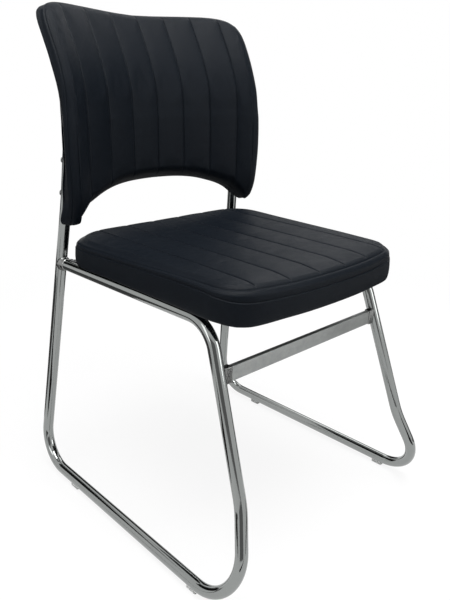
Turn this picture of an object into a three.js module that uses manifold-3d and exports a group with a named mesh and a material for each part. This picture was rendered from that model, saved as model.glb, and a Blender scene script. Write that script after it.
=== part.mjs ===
// Sled base visitor chair: two bent tube side frames, three cross members, an upholstered seat and an
// upholstered back with an arched lower edge. Millimetres, +Z up, the sitter faces -Y, floor at z = 0.
import * as THREE from "three";
import { mergeVertices } from "three/addons/utils/BufferGeometryUtils.js";
import Module from "manifold-3d";

const wasm = await Module();
wasm.setup();

// Tube of the side frames
const tubeRadius = 9.5;
const tubeWall = 1.5;
const fit = 0.3;
const pegHole = 3.1;
const screwRadius = 2.9;
const screwHole = 3.4;

// Corners of one side frame's centreline, for the side at +X
const railEnd = new THREE.Vector3(203.5, 212, 408.6);
const frontTop = new THREE.Vector3(183.1, -136.4, 398.1);
const legKink = new THREE.Vector3(199.7, -223, 150.6);
const frontFloor = new THREE.Vector3(244.1, -275.3, 13.5);
const rearFloor = new THREE.Vector3(238.2, 275.3, 13.5);
const uprightBend = new THREE.Vector3(194.2, 208, 525);
const uprightTop = new THREE.Vector3(187.3, 204, 603);
const railJoint = new THREE.Vector3(204.1, 222.4, 408.9);
const frontTopRadius = 55;
const kinkRadius = 130;
const frontFloorRadius = 66;
const rearFloorRadius = 60;
const uprightRadius = 320;

// Cross members
const stretcherHeight = 326;
const stretcherY = -161.6;
const stretcherDepth = 23;
const stretcherThickness = 8;
const rearCrossY = 205;
const frontCrossY = -82;
const tabThickness = 2.5;
const tabX = 132;
const tabReach = 34;
const tabLength = 54;

// Seat, measured from the plane on which its board lies
const seatTilt = Math.atan2(10.8, 358.8);
const seatOrigin = new THREE.Vector3(0, -9, 411.5);
const seatBoardThickness = 12;
const seatSeams = [30, 90, 150];
const seatChannelCrown = 3.6;
const seatFrontEdge = [
  [0, -205], [40, -204.3], [80, -202], [120, -197], [145, -192.4], [164, -186.6], [181, -175.6],
];
const seatRearEdge = [[0, 216], [80, 215.4], [130, 213.8], [155, 211.7], [175, 206.4], [192.5, 196.2]];
const seatSideEdge = [
  [181, -175.6], [190.6, -163.4], [196, -149], [198.2, -132], [200.6, -70], [204, 10],
  [207.8, 90], [211.4, 136], [210.8, 163], [205, 182], [192.5, 196.2],
];
const seatPipingHeight = [
  [-215, 31], [-185, 31.4], [-160, 34.5], [-125, 37.5], [-55, 36.8], [20, 34.4], [110, 31.4], [217, 29.5],
];

// Back, measured in the upright plane of its outline
const backCurve = 403;
const backSeams = [0, 57.5, 114, 168];
const backChannelCrown = 4.2;
const backLean = [
  [440, 242], [480, 225], [500, 216.8], [520, 211.4], [545, 209.6], [644, 209.5],
  [658, 210.6], [699, 214.4], [739, 227.9], [777, 246.8], [816, 269.2], [840, 283],
];
const backLowerEdge = [
  [0, 536.2], [36, 535.4], [62, 533.6], [88, 529.6], [112, 522.6], [135, 513.2], [155, 501.6], [170, 490],
  [183, 481.4], [194, 477], [204.4, 479.4],
];
const backUpperEdge = [
  [0, 822.6], [40, 824], [78, 826], [110, 827.5], [150, 828.4], [174, 826.8], [191, 822.4], [203, 813.6],
];
const backSideEdge = [
  [204.4, 479.4], [208.2, 487], [209.4, 504], [209.8, 526], [211.2, 550], [212.5, 578], [212.8, 605],
  [212.2, 636], [210.8, 662], [209.4, 688], [208.6, 715], [209, 745], [209.8, 775], [209.4, 793],
  [207.2, 805], [203, 813.6],
];
const backRim = 17.5;
const backLobeRim = 25;
const backRearThickness = 4;
const backBoardThickness = 6;
const backScrewHeights = [530, 584];

const chromeSteel = { color: 0xb9bcc0, roughness: 0.16, metalness: 1 };
const weldedSteel = { color: 0x8f9296, roughness: 0.42, metalness: 1 };
const coatedSteel = { color: 0x55575b, roughness: 0.5, metalness: 0.8 };
const zincSteel = { color: 0xa5a7a4, roughness: 0.35, metalness: 1 };
const leather = { color: 0x1b1d22, roughness: 0.48, metalness: 0 };
const foam = { color: 0xd9cf9e, roughness: 0.95, metalness: 0 };
const plywood = { color: 0xb98d5c, roughness: 0.8, metalness: 0 };
const darkPlastic = { color: 0x1d1e20, roughness: 0.55, metalness: 0 };
const palePlastic = { color: 0xc4c7c4, roughness: 0.4, metalness: 0 };
const lining = { color: 0x26272a, roughness: 1, metalness: 0 };

// A smooth curve through [x, y] points, read at any x between them
function through(points) {
  const slope = points.map((p, i) => {
    const a = points[Math.max(0, i - 1)];
    const b = points[Math.min(points.length - 1, i + 1)];
    return (b[1] - a[1]) / (b[0] - a[0]);
  });
  return (x) => {
    let i = points.findIndex((p) => p[0] >= x);
    if (i < 0) i = points.length - 1;
    i = Math.max(1, i);
    const [x0, y0] = points[i - 1];
    const [x1, y1] = points[i];
    const w = x1 - x0;
    const t = THREE.MathUtils.clamp((x - x0) / w, 0, 1);
    const a = 1 + t * t * (2 * t - 3);
    const b = t * (1 + t * (t - 2)) * w;
    const c = t * t * (t - 1) * w;
    return a * y0 + b * slope[i - 1] + (1 - a) * y1 + c * slope[i];
  };
}

function solidOf(geometry) {
  const bare = new THREE.BufferGeometry();
  bare.setAttribute("position", geometry.getAttribute("position"));
  if (geometry.index) bare.setIndex(geometry.index);
  const joined = mergeVertices(bare, 1e-4);
  return new wasm.Manifold(new wasm.Mesh({
    numProp: 3,
    vertProperties: Float32Array.from(joined.attributes.position.array),
    triVerts: Uint32Array.from(joined.index.array),
  }));
}

function geometryOf(solid) {
  const mesh = solid.getMesh();
  const positions = new Float32Array(mesh.numVert * 3);
  for (let i = 0; i < mesh.numVert; i++) {
    positions.set(mesh.vertProperties.subarray(i * mesh.numProp, i * mesh.numProp + 3), i * 3);
  }
  const geometry = new THREE.BufferGeometry();
  geometry.setAttribute("position", new THREE.BufferAttribute(positions, 3));
  geometry.setIndex(new THREE.BufferAttribute(Uint32Array.from(mesh.triVerts), 1));
  geometry.computeVertexNormals();
  return geometry;
}

function mirrored(solid) {
  const geometry = geometryOf(solid);
  const p = geometry.attributes.position.array;
  for (let i = 0; i < p.length; i += 3) p[i] = -p[i];
  const t = geometry.index.array;
  for (let i = 0; i < t.length; i += 3) [t[i + 1], t[i + 2]] = [t[i + 2], t[i + 1]];
  return solidOf(geometry);
}

function largest(solid) {
  return solid.decompose().sort((a, b) => b.volume() - a.volume())[0];
}

function put(group, name, solid, look) {
  const mesh = new THREE.Mesh(geometryOf(solid), new THREE.MeshStandardMaterial(look));
  mesh.name = name;
  group.add(mesh);
}

// A centreline made of straight runs and true arcs, with steps only where it bends
class TubePath extends THREE.Curve {
  constructor(corners) {
    super();
    this.stations = [];
    const add = (point, tangent) => this.stations.push({ point, tangent: tangent.clone().normalize() });
    const first = corners[0].at;
    add(first, corners[1].at.clone().sub(first));
    for (let i = 1; i < corners.length - 1; i++) {
      const { at, radius } = corners[i];
      const into = at.clone().sub(corners[i - 1].at).normalize();
      const out = corners[i + 1].at.clone().sub(at).normalize();
      const turn = into.angleTo(out);
      const reach = radius * Math.tan(turn / 2);
      const inward = out.clone().sub(into).normalize();
      const centre = at.clone().addScaledVector(inward, radius / Math.cos(turn / 2));
      const start = at.clone().addScaledVector(into, -reach).sub(centre);
      const axis = into.clone().cross(out).normalize();
      const steps = Math.max(2, Math.ceil(turn / 0.22));
      for (let k = 0; k <= steps; k++) {
        const angle = (turn * k) / steps;
        add(start.clone().applyAxisAngle(axis, angle).add(centre), into.clone().applyAxisAngle(axis, angle));
      }
    }
    const last = corners[corners.length - 1].at;
    add(last, last.clone().sub(corners[corners.length - 2].at));
  }
  station(u) {
    return this.stations[Math.round(u * (this.stations.length - 1))];
  }
  getPoint(u) {
    return this.station(u).point.clone();
  }
  getPointAt(u) {
    return this.getPoint(u);
  }
  getTangentAt(u) {
    return this.station(u).tangent.clone();
  }
}

function ringShape(radius, sides) {
  const points = [];
  for (let i = 0; i < sides; i++) {
    const angle = ((i + 0.5) / sides) * 2 * Math.PI;
    points.push(new THREE.Vector2(radius * Math.cos(angle), radius * Math.sin(angle)));
  }
  return new THREE.Shape(points);
}

function sweep(path, radius, sides) {
  const steps = path.stations.length - 1;
  return solidOf(new THREE.ExtrudeGeometry(ringShape(radius, sides), { steps, extrudePath: path }));
}

// A turned piece standing on `base`, its own axis laid along `direction`
function turned(profile, base, direction, sides) {
  const geometry = new THREE.LatheGeometry(profile.map(([r, z]) => new THREE.Vector2(r, z)), sides);
  const turn = new THREE.Quaternion().setFromUnitVectors(new THREE.Vector3(0, 1, 0), direction);
  geometry.applyQuaternion(turn).translate(base.x, base.y, base.z);
  return solidOf(geometry);
}

function rod(from, to, radius, sides) {
  const along = to.clone().sub(from);
  const length = along.length();
  return turned([[0, 0], [radius, 0], [radius, length], [0, length]], from, along.normalize(), sides);
}

function extruded(shape, depth, matrix) {
  const geometry = new THREE.ExtrudeGeometry(shape, { depth, bevelEnabled: false, curveSegments: 4 });
  return solidOf(geometry.applyMatrix4(matrix));
}

function roundedShape(width, height, radius) {
  const w = width / 2;
  const h = height / 2;
  const shape = new THREE.Shape();
  shape.moveTo(-w + radius, -h);
  shape.lineTo(w - radius, -h).absarc(w - radius, -h + radius, radius, -Math.PI / 2, 0, false);
  shape.lineTo(w, h - radius).absarc(w - radius, h - radius, radius, 0, Math.PI / 2, false);
  shape.lineTo(-w + radius, h).absarc(-w + radius, h - radius, radius, Math.PI / 2, Math.PI, false);
  shape.lineTo(-w, -h + radius).absarc(-w + radius, -h + radius, radius, Math.PI, 1.5 * Math.PI, false);
  return shape;
}

const holePath = (x, y, radius) => new THREE.Path().absarc(x, y, radius, 0, 2 * Math.PI, true);

// Side frames

const framePath = new TubePath([
  { at: railEnd },
  { at: frontTop, radius: frontTopRadius },
  { at: legKink, radius: kinkRadius },
  { at: frontFloor, radius: frontFloorRadius },
  { at: rearFloor, radius: rearFloorRadius },
  { at: uprightBend, radius: uprightRadius },
  { at: uprightTop },
]);
const frameClearance = sweep(framePath, tubeRadius + fit, 16);
const uprightAxis = uprightTop.clone().sub(uprightBend).normalize();
const runnerAxis = frontFloor.clone().sub(rearFloor).normalize();
const glideStations = [-172, 160];

function onRunner(y) {
  const t = (y - rearFloor.y) / (frontFloor.y - rearFloor.y);
  return rearFloor.clone().lerp(frontFloor, t);
}

function uprightAt(z) {
  const [low, high] = z < uprightBend.z ? [rearFloor, uprightBend] : [uprightBend, uprightTop];
  return low.clone().lerp(high, (z - low.z) / (high.z - low.z));
}

// The rail is coped on to its own upright, and the bead round the joint closes its bore
function sideFrame() {
  const backwards = railJoint.clone().sub(railEnd).normalize();
  const bead = [[0, -7], [9.6, -7], [10.5, -5.5], [10.9, -2], [12.4, 2.2], [12.4, 8], [0, 8]];
  const tube = sweep(framePath, tubeRadius, 16).add(turned(bead, railEnd, backwards, 16));
  const bore = new TubePath([
    { at: railEnd.clone().addScaledVector(backwards, -9) },
    { at: frontTop, radius: frontTopRadius },
    { at: legKink, radius: kinkRadius },
    { at: frontFloor, radius: frontFloorRadius },
    { at: rearFloor, radius: rearFloorRadius },
    { at: uprightBend, radius: uprightRadius },
    { at: uprightTop.clone().addScaledVector(uprightAxis, 1) },
  ]);
  let frame = tube.subtract(sweep(bore, tubeRadius - tubeWall, 6));
  for (const y of glideStations) {
    const at = onRunner(y);
    frame = frame.subtract(rod(at.clone().setZ(0), at, pegHole, 10));
  }
  for (const z of backScrewHeights) {
    const { at, out } = backScrewLine(z);
    const before = at.clone().addScaledVector(out, -14);
    const behind = at.clone().addScaledVector(out, 14);
    frame = frame.subtract(rod(before, behind, screwHole, 10));
  }
  return frame;
}

// Every pad is drawn on a plan of two axes, p across and q along, with h rising towards the sitter.
// Its outline is read at the columns for the near and far edges and at the rows for the sides.
function padOutline({ near, far, side, columns, rows, straight }) {
  const nearAt = through(near);
  const farAt = through(far);
  const curve = new THREE.SplineCurve(side.map(([p, q]) => new THREE.Vector2(p, q)));
  const loop = [];
  const last = columns.length - 1;
  const slopeAt = (at, p) => (at(Math.abs(p) + 0.5) - at(Math.abs(p) - 0.5)) * Math.sign(p);
  const edge = (p, at, sign) => {
    const slope = Math.abs(p) < 1 ? 0 : slopeAt(at, p);
    const size = Math.hypot(1, slope);
    const blend = THREE.MathUtils.smoothstep(Math.abs(p), straight, columns[last]);
    const outQ = sign * THREE.MathUtils.lerp(size, 1 / size, blend);
    const out = new THREE.Vector2((-sign * slope * blend) / size, outQ);
    return { at: new THREE.Vector2(p, at(Math.abs(p))), out };
  };
  const flank = (v, sign) => {
    const at = curve.getPointAt(v);
    const t = curve.getTangentAt(v);
    return { at: new THREE.Vector2(sign * at.x, at.y), out: new THREE.Vector2(sign * t.y, -t.x) };
  };
  columns.forEach((p, i) => {
    if (i < last) loop.push(i ? edge(p, nearAt, -1) : flank(0, -1));
  });
  rows.forEach((v, j) => {
    if (j < rows.length - 1) loop.push(flank(v, 1));
  });
  columns.slice().reverse().forEach((p, i) => {
    if (i < last) loop.push(i ? edge(p, farAt, 1) : flank(1, 1));
  });
  rows.slice().reverse().forEach((v, j) => {
    if (j < rows.length - 1) loop.push(flank(v, -1));
  });
  return loop;
}

// The grid of plan points inside a ring of boundary points: straight columns, bowed only beside the sides
function padGrid(ring, columns, rows, straight) {
  const n = columns.length;
  const m = rows.length;
  const near = (i) => ring[i];
  const right = (j) => ring[(n - 1 + j) % ring.length];
  const far = (i) => ring[n - 1 + m - 1 + (n - 1 - i)];
  const left = (j) => ring[(2 * (n - 1) + 2 * (m - 1) - j) % ring.length];
  return columns.map((p, i) => rows.map((v, j) => {
    if (j === 0) return near(i);
    if (j === m - 1) return far(i);
    if (i === 0) return left(j);
    if (i === n - 1) return right(j);
    const edge = columns[n - 1];
    const share = THREE.MathUtils.clamp((Math.abs(p) - straight) / (edge - straight), 0, 1);
    const [sidePoint, a, b] = p > 0 ? [right(j), near(n - 1), far(n - 1)] : [left(j), near(0), far(0)];
    const plain = near(i).clone().lerp(far(i), v);
    return plain.add(sidePoint.clone().sub(a.clone().lerp(b, v)).multiplyScalar(share));
  }));
}

// A closed pad: top grid, rings rolling over its edge, and a plain grid behind. A ring gives [out, height]
// for each point of the outline, from the place where the top grid ended.
function pad({ outline, columns, rows, straight, top, rings, under, place }) {
  const positions = [];
  const triangles = [];
  const vertex = (p, q, h) => positions.push(...place(p, q, h).toArray()) / 3 - 1;
  const shifted = (edge, out) => edge.at.clone().addScaledVector(edge.out, out);
  const first = outline.map((edge) => shifted(edge, rings[0](edge)[0]));
  const n = columns.length;
  const m = rows.length;
  const order = [];
  for (let i = 0; i < n - 1; i++) order.push([i, 0]);
  for (let j = 0; j < m - 1; j++) order.push([n - 1, j]);
  for (let i = n - 1; i > 0; i--) order.push([i, m - 1]);
  for (let j = m - 1; j > 0; j--) order.push([0, j]);
  const sheet = (ring, height, flip) => {
    const plan = padGrid(ring, columns, rows, straight);
    const grid = plan.map((column) => column.map(({ x, y }) => vertex(x, y, height(x, y))));
    for (let i = 0; i < n - 1; i++) {
      for (let j = 0; j < m - 1; j++) {
        const [a, b, c, d] = [grid[i][j], grid[i + 1][j], grid[i + 1][j + 1], grid[i][j + 1]];
        const halves = (i + j) % 2 ? [a, b, c, a, c, d] : [a, b, d, b, c, d];
        triangles.push(...(flip ? halves.reverse() : halves));
      }
    }
    return order.map(([i, j]) => grid[i][j]);
  };
  let above = sheet(first, top, false);
  for (const ring of rings.slice(1, -1)) {
    const below = outline.map((edge, k) => {
      const [out, height] = ring(edge, first[k]);
      const q = shifted(edge, out);
      return vertex(q.x, q.y, height);
    });
    stitch(triangles, above, below);
    above = below;
  }
  const last = rings[rings.length - 1];
  stitch(triangles, above, sheet(outline.map((edge) => shifted(edge, last(edge)[0])), under, true));
  const geometry = new THREE.BufferGeometry();
  geometry.setAttribute("position", new THREE.BufferAttribute(Float32Array.from(positions), 3));
  geometry.setIndex(triangles);
  return solidOf(geometry);
}

function stitch(triangles, above, below) {
  above.forEach((a, k) => {
    const next = (k + 1) % above.length;
    triangles.push(a, below[k], below[next], a, below[next], above[next]);
  });
}

// Columns placed at each sewn seam, beside it and at each channel's crown
function quiltColumns(seams, edge, outer) {
  const half = new Set(outer);
  half.add(edge);
  seams.forEach((seam, i) => {
    const next = i + 1 < seams.length ? seams[i + 1] : undefined;
    half.add(seam);
    half.add(seam + 4);
    if (seam > 0) half.add(seam - 4);
    if (next !== undefined) half.add((seam + next) / 2);
  });
  if (seams[0] > 0) half.add(0);
  const right = [...half].sort((a, b) => a - b);
  return [...right.filter((p) => p > 0).reverse().map((p) => -p), ...right];
}

function plainColumns(edge, count) {
  return Array.from({ length: count + 1 }, (_, i) => edge * ((2 * i) / count - 1));
}

// Height of the stuffed channel at p over its sewn seams
function channel(seams, edge, p) {
  const marks = [...seams, edge];
  const x = Math.abs(p);
  const i = marks.findIndex((mark) => mark > x);
  if (i < 0) return 0;
  const low = i > 0 ? marks[i - 1] : -marks[0];
  const u = (x - low) / (marks[i] - low);
  return Math.pow(4 * u * (1 - u), 0.5);
}

const evenRows = (count) => Array.from({ length: count + 1 }, (_, j) => j / count);

// Seat

const seatMatrix = new THREE.Matrix4().makeRotationX(seatTilt).setPosition(seatOrigin);
const seatPlace = (p, q, h) => new THREE.Vector3(p, q, h).applyMatrix4(seatMatrix);
const seatEdges = { near: seatFrontEdge, far: seatRearEdge, side: seatSideEdge };

// Height of the sewn seams: the seat rises to the front, is a little dished and rolls over in front
function seatSurface(p, q) {
  const x = Math.abs(p);
  const dish = 1.2 * Math.min(1, Math.max(0, x - 20) / 130) * THREE.MathUtils.smoothstep(q, -150, -50);
  const toFront = Math.max(0, -148 - q);
  return 51.4 - 0.022 * (q + 137) + dish - 0.06 * Math.max(0, x - 150) - 0.0016 * toFront * toFront;
}

const seatPiping = through(seatPipingHeight);

// The quarter round from the quilted top down to the piping
function seatRoll(out) {
  return (edge, start) => {
    const top = seatSurface(start.x, start.y) - 0.8;
    const seam = seatPiping(edge.at.y) + 2;
    return [out, seam + (top - seam) * Math.sqrt(1 - Math.pow((19 + out) / 19, 2))];
  };
}

function seatShell() {
  const columns = quiltColumns(seatSeams, 181, [161, 171]);
  const rows = [0, 0.06, 0.17, 0.34, 0.54, 0.75, 0.93, 1];
  const straight = 150;
  const outline = padOutline({ ...seatEdges, columns, rows, straight });
  const front = (q) => THREE.MathUtils.smoothstep(-q, 150, 190);
  const crown = (p, q) => seatChannelCrown * channel(seatSeams, 208, p) * (1 - 0.5 * front(q));
  const top = (p, q) => seatSurface(p, q) + crown(p, q);
  const piping = (out, above) => (edge) => [out, seatPiping(edge.at.y) + above];
  const cornerDrop = (p, q) => 3 * THREE.MathUtils.smoothstep(Math.abs(p), 90, 185) * front(q);
  const hem = (p, q) => 0.6 - 0.7 * front(q) - cornerDrop(p, q);
  return pad({
    outline, columns, rows, straight, top, place: seatPlace,
    rings: [
      () => [-19],
      seatRoll(-12.5),
      seatRoll(-5.5),
      piping(-0.8, 1.8),
      piping(-2, 0),
      piping(0, -1.8),
      (edge) => [0.4, seatPiping(edge.at.y) * 0.4],
      (edge) => [-3, hem(edge.at.x, edge.at.y)],
      () => [-9],
    ],
    under: () => 0.4,
  });
}

// The seat's inside: smooth top under the quilting, sides set in by the cover's thickness
function seatCore(grow, floor) {
  const columns = plainColumns(181, 10);
  const rows = [0, 0.12, 0.35, 0.65, 0.88, 1];
  const straight = 110;
  const outline = padOutline({ ...seatEdges, columns, rows, straight });
  return pad({
    outline, columns, rows, straight, place: seatPlace,
    top: (p, q) => seatSurface(p, q) - 7 + grow,
    rings: [
      () => [-24 + grow],
      (edge) => [-13 + grow, seatPiping(edge.at.y) + 3 + grow],
      (edge) => [-5.5 + grow, seatPiping(edge.at.y) - 10],
      () => [-5.5 + grow],
    ],
    under: () => floor,
  });
}

function outlineShape(edges, inset, columns) {
  const rows = evenRows(8);
  const outline = padOutline({ ...edges, columns, rows, straight: 0.6 * columns[columns.length - 1] });
  return new THREE.Shape(outline.map(({ at, out }) => at.clone().addScaledVector(out, -inset)));
}

function seatPlate(inset, low, high, holes, holeRadius) {
  const shape = outlineShape(seatEdges, inset, plainColumns(181, 10));
  for (const [x, y] of holes) shape.holes.push(holePath(x, y, holeRadius));
  const lift = new THREE.Matrix4().makeTranslation(0, 0, low);
  return extruded(shape, high - low, seatMatrix.clone().multiply(lift));
}

const toSeat = (y) => (y - seatOrigin.y) / Math.cos(seatTilt);
const crossRows = { rear: toSeat(rearCrossY), front: toSeat(frontCrossY) };
const fixings = [
  ["rear_left", -tabX, crossRows.rear - tabReach],
  ["rear_right", tabX, crossRows.rear - tabReach],
  ["front_left", -tabX, crossRows.front + tabReach],
  ["front_right", tabX, crossRows.front + tabReach],
];
const fixingPoints = fixings.map(([, x, y]) => [x, y]);
const seatUp = new THREE.Vector3(0, 0, 1).transformDirection(seatMatrix);

function seatAssembly() {
  const group = new THREE.Group();
  group.name = "seat";
  const boardLow = 1.9;
  const boardHigh = boardLow + seatBoardThickness;
  const sill = seatPlate(20, -3, boardLow + 1, [], 0);
  put(group, "seat_cover", seatShell().subtract(seatCore(0, boardLow - 0.2)).subtract(sill), leather);
  const board = seatPlate(8.5, boardLow, boardHigh, fixingPoints, 4.6);
  const well = ([x, y]) => rod(seatPlace(x, y, boardHigh - 1), seatPlace(x, y, boardHigh + 3), 10.5, 12);
  let cushion = seatCore(-fit, boardLow + 0.1).subtract(seatPlate(8.1, -3, boardHigh + fit, [], 0));
  for (const point of fixingPoints) cushion = cushion.subtract(well(point));
  put(group, "seat_foam", cushion, foam);
  put(group, "seat_board", board, plywood);
  put(group, "seat_dust_cover", seatPlate(21, 0.3, 1.5, fixingPoints, 4.6), lining);
  for (const [name, x, y] of fixings) {
    const nut = [[3.3, -9], [4.2, -9], [4.2, 0.3], [9, 0.3], [9, 1.6], [3.3, 1.6], [3.3, -9]];
    put(group, "seat_tee_nut_" + name, turned(nut, seatPlace(x, y, boardHigh), seatUp, 12), zincSteel);
    const low = -fit - tabThickness - fit;
    const screw = [
      [0, low - 3.6], [3.6, low - 3.4], [5.6, low - 2], [6, low],
      [screwRadius, low], [screwRadius, 15], [2.2, 15.8], [0, 15.8],
    ];
    put(group, "seat_screw_" + name, turned(screw, seatPlace(x, y, 0), seatUp, 12), zincSteel);
  }
  return group;
}

// Back

const leanAt = through(backLean);
const backEdges = { near: backLowerEdge, far: backUpperEdge, side: backSideEdge };
const backSurface = (p, q) => leanAt(q) - (p * p) / (2 * backCurve);

function backNormal(p, q) {
  return new THREE.Vector3(-p / backCurve, -1, (leanAt(q + 1) - leanAt(q - 1)) / 2).normalize();
}

function backPlace(p, q, h) {
  return new THREE.Vector3(p, backSurface(p, q), q).addScaledVector(backNormal(p, q), h);
}

// The line of a back screw: through the upright's centre, square to the back
function backScrewLine(z) {
  const at = uprightAt(z);
  let p = at.x;
  for (let k = 0; k < 30; k++) {
    const n = backNormal(p, z);
    const depth = (at.y - backSurface(p, z)) / n.y;
    p += at.x - (p + n.x * depth);
  }
  const out = backNormal(p, z).negate();
  return { at, out, depth: (at.y - backSurface(p, z)) / out.y };
}

// The back is deeper where its lobes reach the uprights
function rimDepth(p, q) {
  const lobe = THREE.MathUtils.smoothstep(-q, -590, -530) * THREE.MathUtils.smoothstep(Math.abs(p), 178, 206);
  return backRim + (backLobeRim - backRim) * lobe;
}

// Edge profiles of the back from its face to its rim: a tight sewn edge all round, a long roll over the arch
const tightEdge = [[-13, 0], [-6.5, -1], [-1.8, -3.6], [-2.7, -4.8], [-0.4, -6], [0, -11]];
const archedEdge = [[-22, 0], [-15, -2.2], [-8.5, -6.2], [-7.6, -7.8], [-3.6, -11.2], [-1, -15.4]];

function backRing(k) {
  return (edge, start) => {
    const arch = Math.pow(Math.max(0, -edge.out.y), 1.5);
    const out = THREE.MathUtils.lerp(tightEdge[k][0], archedEdge[k][0], arch);
    const height = THREE.MathUtils.lerp(tightEdge[k][1], archedEdge[k][1], arch);
    const quilt = k === 1 ? 0.55 * backChannelCrown * channel(backSeams, 210, start.x) : 0;
    return [out, height + quilt];
  };
}

// The rim is drawn in behind, except beside the leaning upper part and at the lobes' tips
function rimRing(edge) {
  const beside = Math.min(1, 1.4 * Math.abs(edge.out.x));
  const flare = 1.5 * THREE.MathUtils.smoothstep(edge.at.y, 775, 812);
  const high = THREE.MathUtils.smoothstep(edge.at.y, 640, 715);
  const tip = THREE.MathUtils.smoothstep(Math.abs(edge.at.x), 176, 196)
    * THREE.MathUtils.smoothstep(-edge.at.y, -530, -488);
  const drawn = beside * (flare + THREE.MathUtils.lerp(-8, 2, high));
  const downwards = 9.5 * Math.max(0, -edge.out.y) - 1.5;
  return [THREE.MathUtils.lerp(drawn, downwards, tip)];
}

function backShell() {
  const columns = quiltColumns(backSeams, 204, [178, 189]);
  const rows = [0, 0.05, 0.14, 0.27, 0.42, 0.57, 0.71, 0.84, 0.95, 1];
  const straight = 168;
  const outline = padOutline({ ...backEdges, columns, rows, straight });
  return pad({
    outline, columns, rows, straight, place: backPlace,
    top: (p, q) => backChannelCrown * channel(backSeams, 210, p) - 0.3,
    rings: [...tightEdge.map((_, k) => backRing(k)), rimRing],
    under: (p, q) => -rimDepth(p, q),
  });
}

// A layer of the back between two depths, its edge sloping from one inset to another
function backLayer(front, rear, frontInset, rearInset) {
  const columns = plainColumns(204, 10);
  const rows = [0, 0.14, 0.42, 0.57, 0.71, 0.86, 1];
  const straight = 120;
  const outline = padOutline({ ...backEdges, columns, rows, straight });
  const inset = ([tight, arched]) => (edge) => {
    const arch = Math.pow(Math.max(0, -edge.out.y), 1.5);
    return [-THREE.MathUtils.lerp(tight, arched, arch)];
  };
  return pad({
    outline, columns, rows, straight, place: backPlace,
    top: front, rings: [inset(frontInset), inset(rearInset)], under: rear,
  });
}

function backAssembly() {
  const group = new THREE.Group();
  group.name = "back";
  const behind = (offset) => (p, q) => -rimDepth(p, q) + offset;
  const boardFace = (p, q) => -rimDepth(p, q) + backBoardThickness;
  const below = (z) => extruded(roundedShape(500, 300, 10), 60,
    new THREE.Matrix4().makeTranslation(0, 200, z - 60));
  const cavity = backLayer(() => -6.5, behind(-6), [13, 24], [10.4, -0.2]).subtract(below(504));
  const rearGap = 2.3;
  const pastBack = backLayer(() => 0, behind(-rearGap - backRearThickness - fit), [0, 0], [15, 8]);
  const filling = backLayer(() => -6.8, behind(-5.7), [13.5, 24.5], [10.9, 0.3]).subtract(below(510));
  const slab = (front, rear) => backLayer(front, rear, [-8, -8], [-8, -8]);
  put(group, "back_cover", backShell().subtract(cavity), leather);
  let foamPad = filling.subtract(slab((p, q) => boardFace(p, q) + 0.4, behind(-12)));
  let board = filling.intersect(slab(boardFace, behind(0.5)));
  let rear = backLayer(behind(-rearGap), behind(-rearGap - backRearThickness), [9.5, 1.5], [15, 8]);
  const hardware = [];
  for (const [i, z] of backScrewHeights.entries()) {
    const place = i ? "upper" : "lower";
    const { at, out, depth } = backScrewLine(z);
    const face = at.clone().addScaledVector(out, -depth);
    const along = (h) => face.clone().addScaledVector(out, h);
    const rim = rimDepth(face.x, face.z);
    const spacer = largest(rod(along(rim - 2), at, 9, 14).subtract(frameClearance).subtract(pastBack)
      .subtract(rod(face, at, screwHole, 10)));
    const flange = rim - backBoardThickness - fit;
    const nut = [
      [3.3, flange - 1.4], [9, flange - 1.4], [9, flange - 0.1], [4.2, flange - 0.1],
      [4.2, flange + 7], [3.3, flange + 7], [3.3, flange - 1.4],
    ];
    const headLow = depth + tubeRadius + 1.1;
    const screw = [
      [0, flange - 2.4], [2.2, flange - 2.4], [screwRadius, flange - 1.6], [screwRadius, headLow],
      [5.6, headLow], [5.3, headLow + 1.2], [3.4, headLow + 2.2], [0, headLow + 2.4],
    ];
    hardware.push(["back_spacer_" + place, spacer, darkPlastic]);
    hardware.push(["back_tee_nut_" + place, turned(nut, face, out, 12), zincSteel]);
    hardware.push(["back_screw_" + place, turned(screw, face, out, 12), zincSteel]);
    const bore = rod(along(flange - 4), along(rim + 14), 4.6, 12);
    const flangeRoom = rod(along(flange - 2), along(flange + 0.2), 9.6, 12);
    const both = [bore, flangeRoom];
    for (const hole of [...both, ...both.map(mirrored)]) {
      foamPad = foamPad.subtract(hole);
      board = board.subtract(hole);
      rear = rear.subtract(hole);
    }
  }
  put(group, "back_foam", foamPad, foam);
  put(group, "back_board", board, plywood);
  put(group, "back_rear_cover", rear, leather);
  for (const [name, solid, look] of hardware) {
    put(group, name + "_right", solid, look);
    put(group, name + "_left", mirrored(solid), look);
  }
  return group;
}

// A round tube along X, hollow, with a bead at each end, coped to the side tubes
function crossTube(q) {
  const centre = -fit - tabThickness - fit - tubeRadius;
  const inner = tubeRadius - tubeWall;
  const share = (seatPlace(0, q, 0).y - frontTop.y) / (railJoint.y - frontTop.y);
  const rail = frontTop.clone().lerp(railJoint, share);
  const bead = rail.x - tubeRadius;
  const beadRadius = tubeRadius + 1.9;
  const reach = bead + 3.2;
  const profile = [
    [inner, -reach], [beadRadius, -reach], [beadRadius, -bead + 0.5], [tubeRadius, -bead + 4],
    [tubeRadius, bead - 4], [beadRadius, bead - 0.5], [beadRadius, reach], [inner, reach], [inner, -reach],
  ];
  return turned(profile, seatPlace(0, q, centre), new THREE.Vector3(1, 0, 0), 14);
}

function seatTab(x, y, towards) {
  const shape = roundedShape(34, tabLength, 6);
  const centre = tabLength / 2 - 14;
  shape.holes.push(holePath(0, towards * centre, screwHole));
  const low = -fit - tabThickness;
  return extruded(shape, tabThickness, seatMatrix.clone().multiply(
    new THREE.Matrix4().makeTranslation(x, y - towards * centre, low)));
}

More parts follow.
